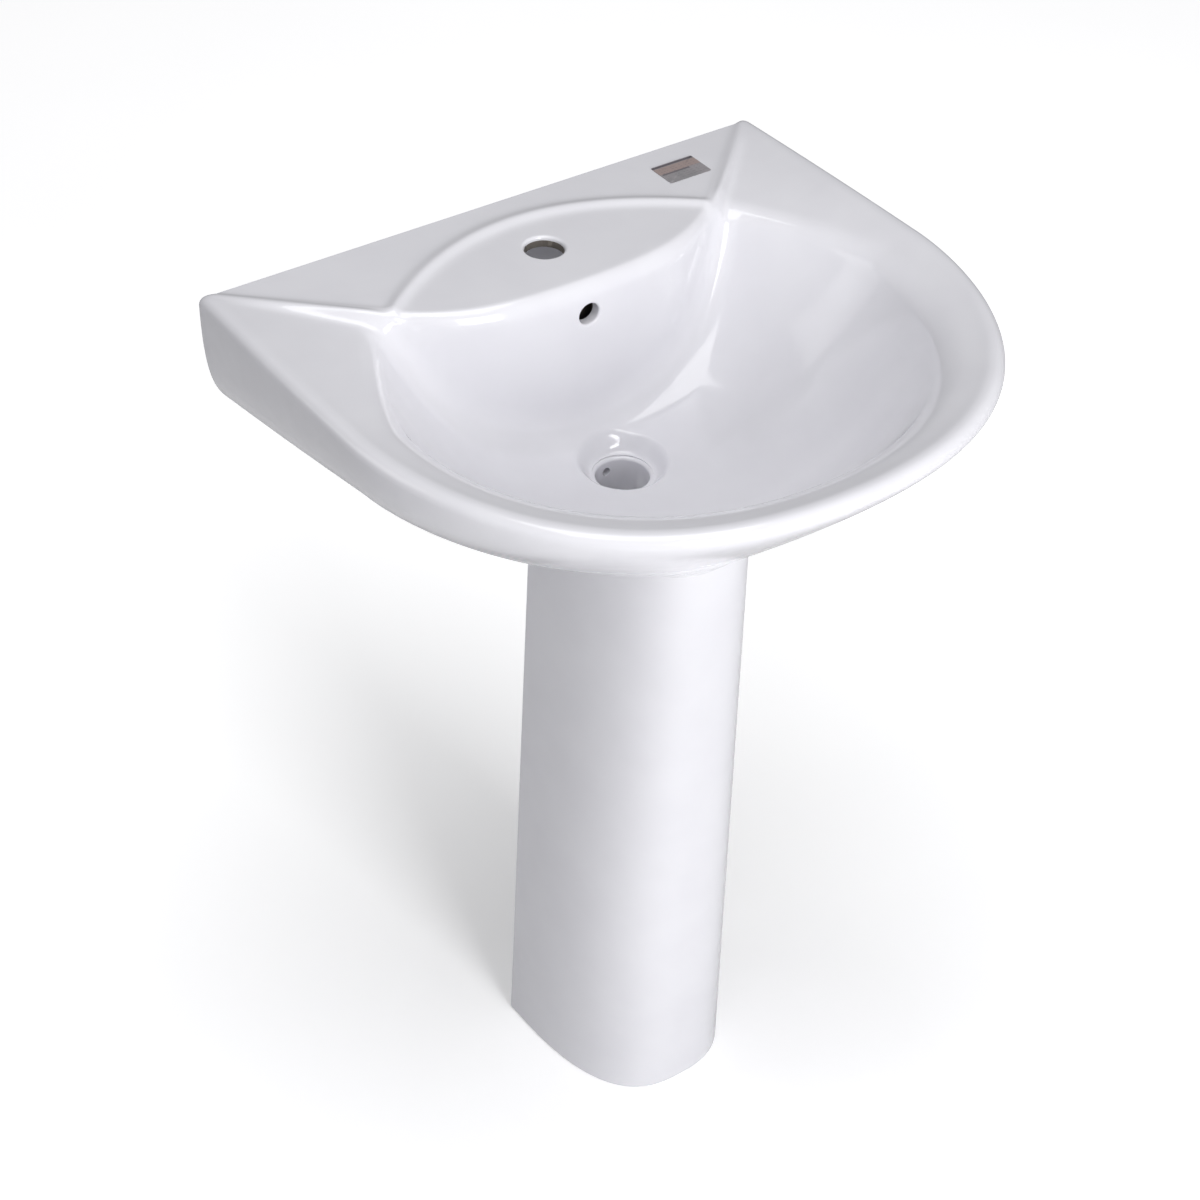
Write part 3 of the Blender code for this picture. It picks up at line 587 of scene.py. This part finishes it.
def basinHollow():
    aboveAll, belowAll = 0.04, -bossDrop - 0.05
    wall = basin["chinaWall"]
    rings = [levelRing(rimOutline(wall, coarseSteps), aboveAll)]
    rings += belly(wall, -basin["rimEdgeRadius"], basin["seatRim"], 22, coarseSteps)
    rings.append(levelRing(undersideOutline(wall, coarseSteps), belowAll))
    for ring in rings:
        ring[:, 1] = ring[:, 1].clip(-basin["hollowFrontBack"])
    middle = -basin["hollowFrontBack"] / 2
    lump = newObject("basinHollow", loft("basinHollow", rings, (0, middle, aboveAll), (0, middle, belowAll)))
    plugRings = upperRings(wall, 44, coarseSteps)
    outside = rimOutline(-0.02, coarseSteps)
    plugRings += [levelRing(outside, -wall), levelRing(outside, 2 * aboveAll)]
    plug = loft("upperPlug", plugRings, (0, drainAxis[1], -basin["bowlDepth"] - drain["recessDepth"] - wall),
                (0, drainAxis[1], 2 * aboveAll))
    combine(lump, plug, "DIFFERENCE")
    mesh = lump.data
    bpy.data.objects.remove(lump)
    return mesh


def trumpet(name, radius, lip, length, proud=0.004):  # a hole cutter whose mouth opens in a round lip at z = 0
    flare = [(radius + lip * (1 - cos(a)), -lip * (1 - sin(a))) for a in np.linspace(0, pi / 2, 9)]
    flare[-1] = (radius + lip, 0.00003)
    return turned(name, [(radius, -length)] + flare + [(radius + lip, proud)], 96)


def cutBasin(piece, china, biscuitPaintedShade):
    forward = (radians(90), 0, 0)
    channelFront = -(basin["lensFrontBack"] - basin["chinaWall"])
    channelBack = channelFront + overflow["channel"]
    ductBack, ductFront = channelBack + overflow["wall"], -(basin["lensFrontBack"] - 0.008)
    ductHalf = overflow["channelWidth"] / 2 + overflow["wall"]
    ductLow = -drain["weepDrop"] - drain["weepRadius"] - overflow["wall"]
    # the hollow, duct, boss, channel, tap shaft and bolt holes take the darkened bare china: painted shade inside the
    # casting
    combine(piece, basinHollow(), "DIFFERENCE", finish=biscuitPaintedShade)
    combine(piece, roundedBox("duct", (-ductHalf, ductFront, ductLow), (ductHalf, ductBack, -basin["lensDrop"] - 0.006),
                              0.0025), "UNION", finish=biscuitPaintedShade)
    footTop = -basin["bowlDepth"] - 0.006
    for grow, front, top in ((0.001, drain["holeRadius"] + 0.004, footTop - drain["recessDepth"] + 0.002),
                             (0.002, drain["recessOuter"] + 0.004, footTop)):  # clear of the drain's recess
        combine(piece, roundedBox("ductFoot", (-ductHalf - grow, -drain["back"] + front, ductLow - grow),
                                  (ductHalf + grow, ductBack + grow, top), 0.0025), "UNION", finish=biscuitPaintedShade)
    boss = drain["holeRadius"] + drain["bossWall"]
    bossTop = bossDrop - basin["bowlDepth"] - drain["recessDepth"] - 0.004
    bossShape = arc((boss - 0.003, 0.003), 0.003, -90, 0, 5) + [(boss, bossTop)]
    combine(piece, turned("boss", bossShape, 96), "UNION", (0, -drain["back"], -bossDrop), finish=biscuitPaintedShade)
    combine(piece, roundedBox("channel", (-overflow["channelWidth"] / 2, channelFront,
                                          -drain["weepDrop"] - drain["weepRadius"] - 0.002),
                              (overflow["channelWidth"] / 2, channelBack,
                               -overflow["drop"] + overflow["radius"] + 0.003), 0.002),
            "DIFFERENCE", finish=biscuitPaintedShade)
    wallHere = -basin["lensFrontBack"]
    for depth in np.linspace(-0.01, 0.02, 601):  # finds the bowl's back wall at the overflow's height
        point = wallHere + depth
        zero = np.zeros((1, 1))
        reach = abs(point - drainAxis[1])
        if aboveSurface(zero, zero + point, zero - overflow["drop"], zero + reach, zero + 0.1, zero + 0.2, 0.0) < 0:
            break
    combine(piece, trumpet("overflowHole", overflow["radius"], overflow["lip"], 0.022), "DIFFERENCE",
            (0, point, -overflow["drop"]), forward, finish=china)
    combine(piece, turned("weepPort", [(drain["weepRadius"], 0), (drain["weepRadius"],
                          drain["back"] - drain["holeRadius"] + channelBack + 0.002)], 32), "DIFFERENCE",
            (0, channelBack - 0.002, -drain["weepDrop"]), forward, finish=china)
    combine(piece, trumpet("drainHole", drain["holeRadius"], drain["lip"], 0.12), "DIFFERENCE",
            (0, -drain["back"], -basin["bowlDepth"] - drain["recessDepth"]), finish=china)
    shaft = turned("tapShaft", [(tapHole["radius"], 0), (tapHole["radius"], 0.05)], 96)
    combine(piece, shaft, "DIFFERENCE", (0, -tapHole["back"], 0.01 - 0.05), finish=biscuitPaintedShade)
    combine(piece, trumpet("tapHole", tapHole["radius"] + 0.0001, tapHole["lip"], tapHole["glazed"]), "DIFFERENCE",
            (0, -tapHole["back"], -basin["lensDrop"]), finish=china)
    for side in (-1, 1):
        combine(piece, turned("boltHole", [(bolt["bushRadius"] + bolt["play"], 0),
                                           (bolt["bushRadius"] + bolt["play"], 0.04)], 48), "DIFFERENCE",
                (side * bolt["spacing"] / 2, 0.01, -bolt["drop"]), forward, finish=biscuitPaintedShade)


def makeBasin(china, biscuitPaintedShade):
    piece = newObject("sinkBasin", solidBasin(), china)
    cutBasin(piece, china, biscuitPaintedShade)
    smoothShade(piece)
    place(piece, "basin", "glazed_china", basinPlace)
    return piece


# pedestal: a wall swept round a squared half ellipse, which narrows towards the top

def geometryTree(name, inputs):
    tree = bpy.data.node_groups.new(name, "GeometryNodeTree")
    tree.interface.new_socket("Geometry", in_out="INPUT", socket_type="NodeSocketGeometry")
    for label, kind in inputs:
        tree.interface.new_socket(label, in_out="INPUT", socket_type=kind)
    tree.interface.new_socket("Geometry", in_out="OUTPUT", socket_type="NodeSocketGeometry")
    return tree, tree.nodes.new("NodeGroupInput"), tree.nodes.new("NodeGroupOutput")


def runTree(piece, tree, values):
    step = piece.modifiers.new(tree.name, "NODES")
    step.node_group = tree
    for item in tree.interface.items_tree:
        if item.in_out == "INPUT" and item.name in values:
            step[item.identifier] = values[item.name]
    return settle(piece)


def endTree(tree, out, geometry, finish):
    whole = node(tree, "GeometryNodeRealizeInstances", {"Geometry": geometry}).outputs["Geometry"]
    coated = node(tree, "GeometryNodeSetMaterial", {"Geometry": whole, "Material": finish})
    tree.links.new(coated.outputs["Geometry"], out.inputs["Geometry"])


def pedestalTree():
    number, whole = "NodeSocketFloat", "NodeSocketInt"
    tree, inside, out = geometryTree("taperedWall", [
        ("Foot half width", number), ("Foot length", number), ("Top half width", number), ("Top length", number),
        ("Height", number), ("Wall", number), ("Squareness", number), ("Edge radius", number),
        ("Sections", whole), ("Levels", whole), ("Finish", "NodeSocketMaterial")])
    get = inside.outputs
    line = node(tree, "GeometryNodeCurvePrimitiveLine", {"Start": (0, 0, 0), "End": (1, 0, 0)}).outputs["Curve"]
    path = node(tree, "GeometryNodeResampleCurve", {"Curve": line, "Count": get["Sections"]}).outputs["Curve"]
    share = node(tree, "GeometryNodeSplineParameter").outputs["Factor"]
    angle = maths(tree, "MULTIPLY", share, pi)
    power = maths(tree, "DIVIDE", 2.0, get["Squareness"])
    swing = maths(tree, "COSINE", angle)
    across = maths(tree, "MULTIPLY", maths(tree, "SIGN", swing),
                   maths(tree, "POWER", maths(tree, "ABSOLUTE", swing), power))
    ahead = maths(tree, "MULTIPLY", maths(tree, "POWER", maths(tree, "MAXIMUM", maths(tree, "SINE", angle), 0.0),
                                          power), -1.0)
    unit = node(tree, "ShaderNodeCombineXYZ", {0: across, 1: ahead}).outputs[0]
    halfWall = maths(tree, "MULTIPLY", get["Wall"], 0.5)
    kept = node(tree, "GeometryNodeCaptureAttribute", {"Geometry": path}, domain="POINT")
    kept.capture_items.new("VECTOR", "Unit")
    tree.links.new(unit, kept.inputs["Unit"])
    middle = node(tree, "ShaderNodeCombineXYZ", {
        0: maths(tree, "MULTIPLY", across, maths(tree, "SUBTRACT", get["Foot half width"], halfWall)),
        1: maths(tree, "MULTIPLY", ahead, maths(tree, "SUBTRACT", get["Foot length"], halfWall))}).outputs[0]
    bent = node(tree, "GeometryNodeSetPosition", {"Geometry": kept.outputs["Geometry"], "Position": middle})
    even = node(tree, "GeometryNodeSetCurveNormal", {"Curve": bent.outputs["Geometry"]}, mode="Z_UP")
    slab = node(tree, "GeometryNodeCurvePrimitiveQuadrilateral", {"Width": get["Wall"], "Height": get["Height"]})
    softened = node(tree, "GeometryNodeFilletCurve", {"Curve": slab.outputs["Curve"], "Radius": get["Edge radius"],
                    "Count": 5}, mode="POLY")
    levels = node(tree, "GeometryNodeSubdivideCurve", {"Curve": softened.outputs["Curve"], "Cuts": get["Levels"]})
    swept = node(tree, "GeometryNodeCurveToMesh", {"Curve": even.outputs["Curve"],
                 "Profile Curve": levels.outputs["Curve"], "Fill Caps": True})
    position = node(tree, "GeometryNodeInputPosition").outputs["Position"]
    parts = node(tree, "ShaderNodeSeparateXYZ", {0: position})
    climb = maths(tree, "ADD", maths(tree, "DIVIDE", parts.outputs[2], get["Height"]), 0.5)
    units = node(tree, "ShaderNodeSeparateXYZ", {0: kept.outputs["Unit"]})
    moves = []
    for index, topName, footName in ((0, "Top half width", "Foot half width"), (1, "Top length", "Foot length")):
        change = maths(tree, "SUBTRACT", get[topName], get[footName])
        moves.append(maths(tree, "MULTIPLY", maths(tree, "MULTIPLY", change, climb), units.outputs[index]))
    offset = node(tree, "ShaderNodeCombineXYZ", {0: moves[0], 1: moves[1],
                  2: maths(tree, "MULTIPLY", get["Height"], 0.5)}).outputs[0]
    shaped = node(tree, "GeometryNodeSetPosition", {"Geometry": swept.outputs["Mesh"], "Offset": offset})
    endTree(tree, out, shaped.outputs["Geometry"], get["Finish"])
    return tree


def makePedestal(china):
    piece = newObject("sinkPedestal", bpy.data.meshes.new("pedestalSeed"))
    p = pedestal
    runTree(piece, pedestalTree(), {
        "Foot half width": p["footHalfWidth"], "Foot length": p["footLength"], "Top half width": p["topHalfWidth"],
        "Top length": p["topLength"], "Height": p["height"], "Wall": p["wall"], "Squareness": p["power"],
        "Edge radius": p["edge"], "Sections": p["pathSteps"], "Levels": 3, "Finish": china})
    outward(piece.data)
    print("pedestal swept", len(piece.data.vertices), tuple(round(v, 4) for v in piece.dimensions))
    for side in (-1, 1):
        outer = side * (p["footHalfWidth"] - p["wall"] / 2)
        inner = side * (p["footHalfWidth"] - p["wall"] - p["lug"])
        lug = roundedBox("lug", (min(outer, inner), -p["lug"] - p["lugSetBack"], p["lugLift"]),
                         (max(outer, inner), -p["lugSetBack"], p["lugHeight"]), 0.003)
        combine(piece, lug, "UNION", finish=china)
        slot = turned("slot", [(p["slotRadius"], 0), (p["slotRadius"], 0.05)], 40)
        combine(piece, slot, "DIFFERENCE", (side * (p["footHalfWidth"] - p["wall"] - p["lug"] / 2),
                                            -p["lug"] / 2 - p["lugSetBack"], -0.01), finish=china)
    smoothShade(piece)
    place(piece, "pedestal", "glazed_china", pedestalPlace)
    return piece


# seat strip, a soft foam cord pressed between basin and pedestal

strip = dict(width=0.003, round=0.0006)


def makeStrip(foam):
    low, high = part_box("seat_strip")
    piece = newObject("seatStrip", bpy.data.meshes.new("stripSeed"))
    runTree(piece, bpy.data.node_groups["taperedWall"], {
        "Foot half width": high.x, "Foot length": high.y - low.y, "Top half width": high.x,
        "Top length": high.y - low.y, "Height": high.z - low.z, "Wall": strip["width"],
        "Squareness": pedestal["power"], "Edge radius": strip["round"], "Sections": 160, "Levels": 1,
        "Finish": foam})
    outward(piece.data)
    smoothShade(piece, 50)
    place(piece, "seat_strip", "soft_strip", Vector((0, high.y, low.z)))


# wall fixings: one of each is made, and a tree stands it on both sides

studLow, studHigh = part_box("wall_stud_right")
bolt = dict(spacing=studLow.x + studHigh.x, drop=rimHeight - (studLow.z + studHigh.z) / 2, play=0.001,
            radius=(studHigh.x - studLow.x) / 2, length=studHigh.y - studLow.y, bushRadius=0.008,
            bushFlangeRadius=0.014, bushFlange=0.003, washerRadius=0.013, washerThickness=0.002,
            nutAcross=0.017, nutHeight=0.008, pitch=0.0015, threadDepth=0.0007, woodPitch=0.004,
            woodDepth=0.0012, woodLength=0.034, shankLength=0.010, tip=0.006, gap=0.0003)


def pairTree():
    tree, inside, out = geometryTree("pairAcross", [("Spacing", "NodeSocketFloat"), ("Finish", "NodeSocketMaterial")])
    half = maths(tree, "MULTIPLY", inside.outputs["Spacing"], -0.5)
    start = node(tree, "ShaderNodeCombineXYZ", {0: half}).outputs[0]
    step = node(tree, "ShaderNodeCombineXYZ", {0: inside.outputs["Spacing"]}).outputs[0]
    points = node(tree, "GeometryNodeMeshLine", {"Count": 2, "Start Location": start, "Offset": step})
    copies = node(tree, "GeometryNodeInstanceOnPoints", {"Points": points.outputs["Mesh"],
                  "Instance": inside.outputs["Geometry"]})
    endTree(tree, out, copies.outputs["Instances"], inside.outputs["Finish"])
    return tree


def threadedStud():  # wood thread for the wall, a plain shank, then the machine thread for the nut
    segments = 28
    levels = np.arange(0, bolt["length"] + 1e-6, bolt["pitch"] / 6)
    angles = np.linspace(0, 2 * pi, segments, endpoint=False)
    rings = []
    for z in levels:
        inWood, inShank = z < bolt["woodLength"], z < bolt["woodLength"] + bolt["shankLength"]
        pitch, depth = (bolt["woodPitch"], bolt["woodDepth"]) if inWood else (bolt["pitch"], bolt["threadDepth"])
        if inShank and not inWood:
            depth = 0.0
        phase = (z / pitch - angles / (2 * pi)) % 1
        groove = np.abs(2 * phase - 1)
        if inWood:
            groove = smoothStep(0.0, 0.75, groove)
        ends = min(1.0, (bolt["length"] - z) / 0.0012 + 0.72)
        point = 0.18 + 0.82 * smoothStep(0, bolt["tip"], z)
        reach = (bolt["radius"] - depth * (groove if not inWood else 1 - groove)) * min(ends, point)
        rings.append(np.column_stack([reach * np.cos(angles), reach * np.sin(angles), np.full(segments, z)]))
    return loft("stud", rings, (0, 0, 0), (0, 0, bolt["length"]))


def flatRing(name, inner, outer, height, edge, segments=72):
    profile = (arc((outer - edge, edge), edge, -90, 0, 4) + arc((outer - edge, height - edge), edge, 0, 90, 4)
               + arc((inner + edge, height - edge), edge, 90, 180, 4) + arc((inner + edge, edge), edge, 180, 270, 4))
    return turned(name, profile, segments, closed=True)


def bushShape():
    bore, wall = bolt["radius"] + 0.5 * bolt["play"], basin["chinaWall"] + bolt["gap"]
    flange, top, edge = bolt["bushFlangeRadius"], wall + bolt["bushFlange"], 0.0006
    profile = ([(bore, 0)] + arc((bolt["bushRadius"] - edge, edge), edge, -90, 0, 3) + [(bolt["bushRadius"], wall)]
               + [(flange - edge, wall)] + arc((flange - edge, top - edge), edge, 0, 90, 4) + [(bore, top)])
    return turned("bush", profile, 64, closed=True)


def nutShape():  # a hexagon whose corners are turned away above and below
    bore, across, height = bolt["radius"] + 0.5 * bolt["play"], bolt["nutAcross"] / 2, bolt["nutHeight"]
    segments, chamfer = 96, 0.0011
    angles = np.linspace(0, 2 * pi, segments, endpoint=False)
    hexagon = across / np.cos(angles % (pi / 3) - pi / 6)
    rings = []
    for radius, z in ((bore, 0.0008), (bore + 0.0008, 0), (across * 0.95, 0), *[(None, z) for z in
                      np.linspace(0, height, 17)], (across * 0.95, height), (bore + 0.0008, height),
                      (bore, height - 0.0008)):
        if radius is None:
            fromEnd = min(z, height - z)
            cone = across * 0.985 + fromEnd * 1.6
            reach = np.minimum(hexagon, cone)
        else:
            reach = np.full(segments, radius)
        rings.append(np.column_stack([reach * np.cos(angles), reach * np.sin(angles), np.full(segments, z)]))
    return loft("nut", rings, wrap=True)


def makeFixings(steel, nylon):
    tree = pairTree()
    washerDepth = basin["chinaWall"] + bolt["bushFlange"] + 2 * bolt["gap"]
    nutDepth = washerDepth + bolt["washerThickness"] + bolt["gap"]
    bore = bolt["radius"] + 0.5 * bolt["play"]
    rows = [("wallStuds", threadedStud(), "wall_stud", studHigh.y - wallY, steel, "zinc_steel"),
            ("studBushes", bushShape(), "stud_bush", 0.0, nylon, "white_nylon"),
            ("studWashers", flatRing("washer", bore, bolt["washerRadius"], bolt["washerThickness"], 0.0003),
             "washer", -washerDepth, steel, "zinc_steel"),
            ("studNuts", nutShape(), "nut", -nutDepth, steel, "zinc_steel")]
    for name, mesh, nodeName, start, finish, slotName in rows:
        mesh.transform(Matrix.Translation((0, start, 0)) @ Matrix.Rotation(radians(90), 4, "X"))
        piece = newObject(name, mesh)
        runTree(piece, tree, {"Spacing": bolt["spacing"], "Finish": finish})
        outward(piece.data)
        smoothShade(piece, 28)
        place(piece, (nodeName + "_left", nodeName + "_right"), slotName, Vector((0, wallY, rimHeight - bolt["drop"])))


# label: a thin printed sticker with plain bands, no lettering

labelLow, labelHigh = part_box("maker_label")
label = dict(corner=0.0016, edge=0.00008, paper=(0.33, 0.31, 0.325, 1), brown=(0.36, 0.285, 0.27, 1),
             band=(0.13, 0.115, 0.13, 1), grey=(0.27, 0.265, 0.275, 1), line=(0.20, 0.18, 0.19, 1))


def labelPaper():
    made, tree, shader, position = startMaterial("labelPaper", 0.42)
    centre = (labelLow + labelHigh) / 2
    mapped = node(tree, "ShaderNodeMapping", {"Vector": position, "Location": tuple(-centre)}).outputs["Vector"]
    parts = node(tree, "ShaderNodeSeparateXYZ", {0: mapped})
    x, y = parts.outputs[0], parts.outputs[1]
    width, height = labelHigh.x - labelLow.x, labelHigh.y - labelLow.y

    def between(value, low, high):
        return maths(tree, "MULTIPLY", maths(tree, "GREATER_THAN", value, low), maths(tree, "LESS_THAN", value, high))

    flow = useGroup(tree, flowGroup, {"Position": position, "Wave size": 0.012, "Ripple size": 0.0006,
                                      "Ripple share": 0.6})
    colour = mixColour(tree, flow.outputs["Cloud"], label["paper"], label["grey"])
    colour = mixColour(tree, between(y, 0.02 * height, 0.36 * height), colour, label["brown"])
    colour = mixColour(tree, between(y, 0.38 * height, 0.47 * height), colour, label["band"])
    lowBand = maths(tree, "MULTIPLY", between(y, -0.05 * height, 0.02 * height), between(x, -0.46 * width, 0.2 * width))
    colour = mixColour(tree, maths(tree, "MULTIPLY", lowBand, 0.8), colour, label["band"])
    rows = node(tree, "ShaderNodeMath", {0: maths(tree, "MULTIPLY", y, 1 / 0.0032)}, operation="FRACT").outputs[0]
    dashes = node(tree, "ShaderNodeTexNoise", {"Vector": node(tree, "ShaderNodeMapping", {"Vector": mapped,
                  "Scale": (1.0, 0.08, 0.0)}).outputs["Vector"], "Scale": 420.0, "Detail": 0.0}).outputs["Fac"]
    print_ = maths(tree, "MULTIPLY", between(rows, 0.25, 0.6), maths(tree, "GREATER_THAN", dashes, 0.52))
    area = maths(tree, "MULTIPLY", between(x, -0.42 * width, 0.40 * width), between(y, -0.42 * height, 0.32 * height))
    colour = mixColour(tree, maths(tree, "MULTIPLY", maths(tree, "MULTIPLY", print_, area), 0.5), colour, label["line"])
    tree.links.new(colour, shader.inputs["Base Color"])
    tree.links.new(ramp(tree, flow.outputs["Cloud"], 0, 1, 0.34, 0.5), shader.inputs["Roughness"])
    addBump(tree, shader, flow.outputs["Height"], 0.0002, 0.25)
    return made


def makeLabel(paper):
    centre = (labelLow + labelHigh) / 2
    halfX, halfY, r = (labelHigh.x - labelLow.x) / 2, (labelHigh.y - labelLow.y) / 2, label["corner"]
    outline = []
    for cx, cy, first in ((halfX - r, halfY - r, 0), (-halfX + r, halfY - r, 90), (-halfX + r, -halfY + r, 180),
                          (halfX - r, -halfY + r, 270)):
        outline += arc((cx, cy), r, first, first + 90, 8)
    thick, edge = labelHigh.z - labelLow.z, label["edge"]
    outline = np.array(outline)
    inner = outline * [1 - edge / halfX, 1 - edge / halfY]
    rings = [levelRing(inner, 0), levelRing(outline, edge), levelRing(outline, thick - edge), levelRing(inner, thick)]
    piece = newObject("makerLabel", loft("makerLabel", rings, (0, 0, 0), (0, 0, thick)), paper)
    smoothShade(piece, 40)
    place(piece, "maker_label", "label_paper", Vector((centre.x, centre.y, labelLow.z)))


# stage: camera, floor and lights

view = dict(target=(-0.23964, -0.27252, 0.820), distance=1.78968, azimuth=-36.7412, elevation=39.0089,
            roll=2.1717, lens=76.06, sensor=36.0)


def makeCamera():
    az, el, roll = radians(view["azimuth"]), radians(view["elevation"]), radians(view["roll"])
    back = Vector((sin(az) * cos(el), -cos(az) * cos(el), sin(el)))
    right = (-back).cross(Vector((0, 0, 1))).normalized()
    up = right.cross(-back)
    across = right * cos(roll) + up * sin(roll)
    upright = up * cos(roll) - right * sin(roll)
    turn = Matrix((across, upright, back)).transposed()
    camera = bpy.data.objects.new("camera", bpy.data.cameras.new("camera"))
    camera.matrix_world = Matrix.Translation(Vector(view["target"]) + back * view["distance"]) @ turn.to_4x4()
    camera.data.lens, camera.data.sensor_width = view["lens"], view["sensor"]
    camera.data.clip_start, camera.data.clip_end = 0.05, 50
    bpy.context.scene.collection.objects.link(camera)
    bpy.context.scene.camera = camera


# the floor's camera-only glow makes it evenly bright, but is weaker near the pedestal's foot: a painted shadow round
# the foot
floorLook = dict(size=14.0, tone=(0.93, 0.93, 0.935, 1), farTone=(0.90, 0.90, 0.91, 1), centre=(0, -0.1, 0),
                 shadowedNearGlow=0.31, farGlow=0.62, reach=(0.25, 1.25))
lights = [
    dict(name="frontLight", place=(-0.3, -3.2, 1.7), aim=(0, 0, 0.7), size=(1.3, 1.7), power=81),
    dict(name="topLight", place=(-0.2, -0.5, 3.2), aim=(0, -0.1, 0.6), size=(1.9, 1.9), power=33),
    dict(name="backLight", place=(-2.2, 1.4, 2.2), aim=(0, -0.1, 0.6), size=(1.5, 1.5), power=8),
]
worldLook = dict(tone=(0.97, 0.97, 1.0, 1), strength=0.20)


def makeStage():
    half = floorLook["size"] / 2
    mesh = bpy.data.meshes.new("floor")
    mesh.from_pydata([(-half, -half, 0), (half, -half, 0), (half, half, 0), (-half, half, 0)], [], [(0, 1, 2, 3)])
    made, tree, shader, position = startMaterial("paleFloor", 0.9)
    flow = useGroup(tree, flowGroup, {"Position": position, "Wave size": 0.6, "Ripple size": 0.01,
                                      "Ripple share": 0.1})
    colour = mixColour(tree, flow.outputs["Cloud"], floorLook["tone"], floorLook["farTone"])
    tree.links.new(colour, shader.inputs["Base Color"])
    # glow seen only by the camera, dimmer within reach of the foot: painted shadow round the pedestal's foot
    away = node(tree, "ShaderNodeVectorMath", {0: position, 1: floorLook["centre"]}, operation="DISTANCE")
    share = ramp(tree, away.outputs["Value"], *floorLook["reach"])
    glow = mixColour(tree, share, (*[floorLook["shadowedNearGlow"]] * 3, 1), (*[floorLook["farGlow"]] * 3, 1))
    seen = node(tree, "ShaderNodeLightPath").outputs["Is Camera Ray"]
    tree.links.new(mixColour(tree, seen, (0, 0, 0, 1), glow), shader.inputs["Emission Color"])
    shader.inputs["Emission Strength"].default_value = 1.0
    shader.inputs["Specular IOR Level"].default_value = 0.1
    floor = newObject("floor", mesh, made)
    for row in lights:
        lamp = bpy.data.lights.new(row["name"], "AREA")
        lamp.shape, (lamp.size, lamp.size_y) = "RECTANGLE", row["size"]
        lamp.energy = row["power"]
        holder = bpy.data.objects.new(row["name"], lamp)
        holder.location = row["place"]
        holder.rotation_euler = (Vector(row["aim"]) - Vector(row["place"])).to_track_quat("-Z", "Y").to_euler()
        bpy.context.scene.collection.objects.link(holder)
    world = bpy.data.worlds.new("studio")
    world.use_nodes = True
    world.node_tree.nodes["Background"].inputs["Color"].default_value = worldLook["tone"]
    world.node_tree.nodes["Background"].inputs["Strength"].default_value = worldLook["strength"]
    bpy.context.scene.world = world
    bpy.context.scene.view_settings.view_transform = "Standard"


makeCamera()
makeStage()
print("stage ready")
china, biscuitPaintedShade, steel = glazedChina(), bareChinaPaintedShade(), zincSteel()
makeBasin(china, biscuitPaintedShade)
print("basin made")
makePedestal(china)
makeStrip(foamStrip())
print("pedestal and strip made")
makeFixings(steel, whiteNylon())
makeLabel(labelPaper())
print("fixings and label made")
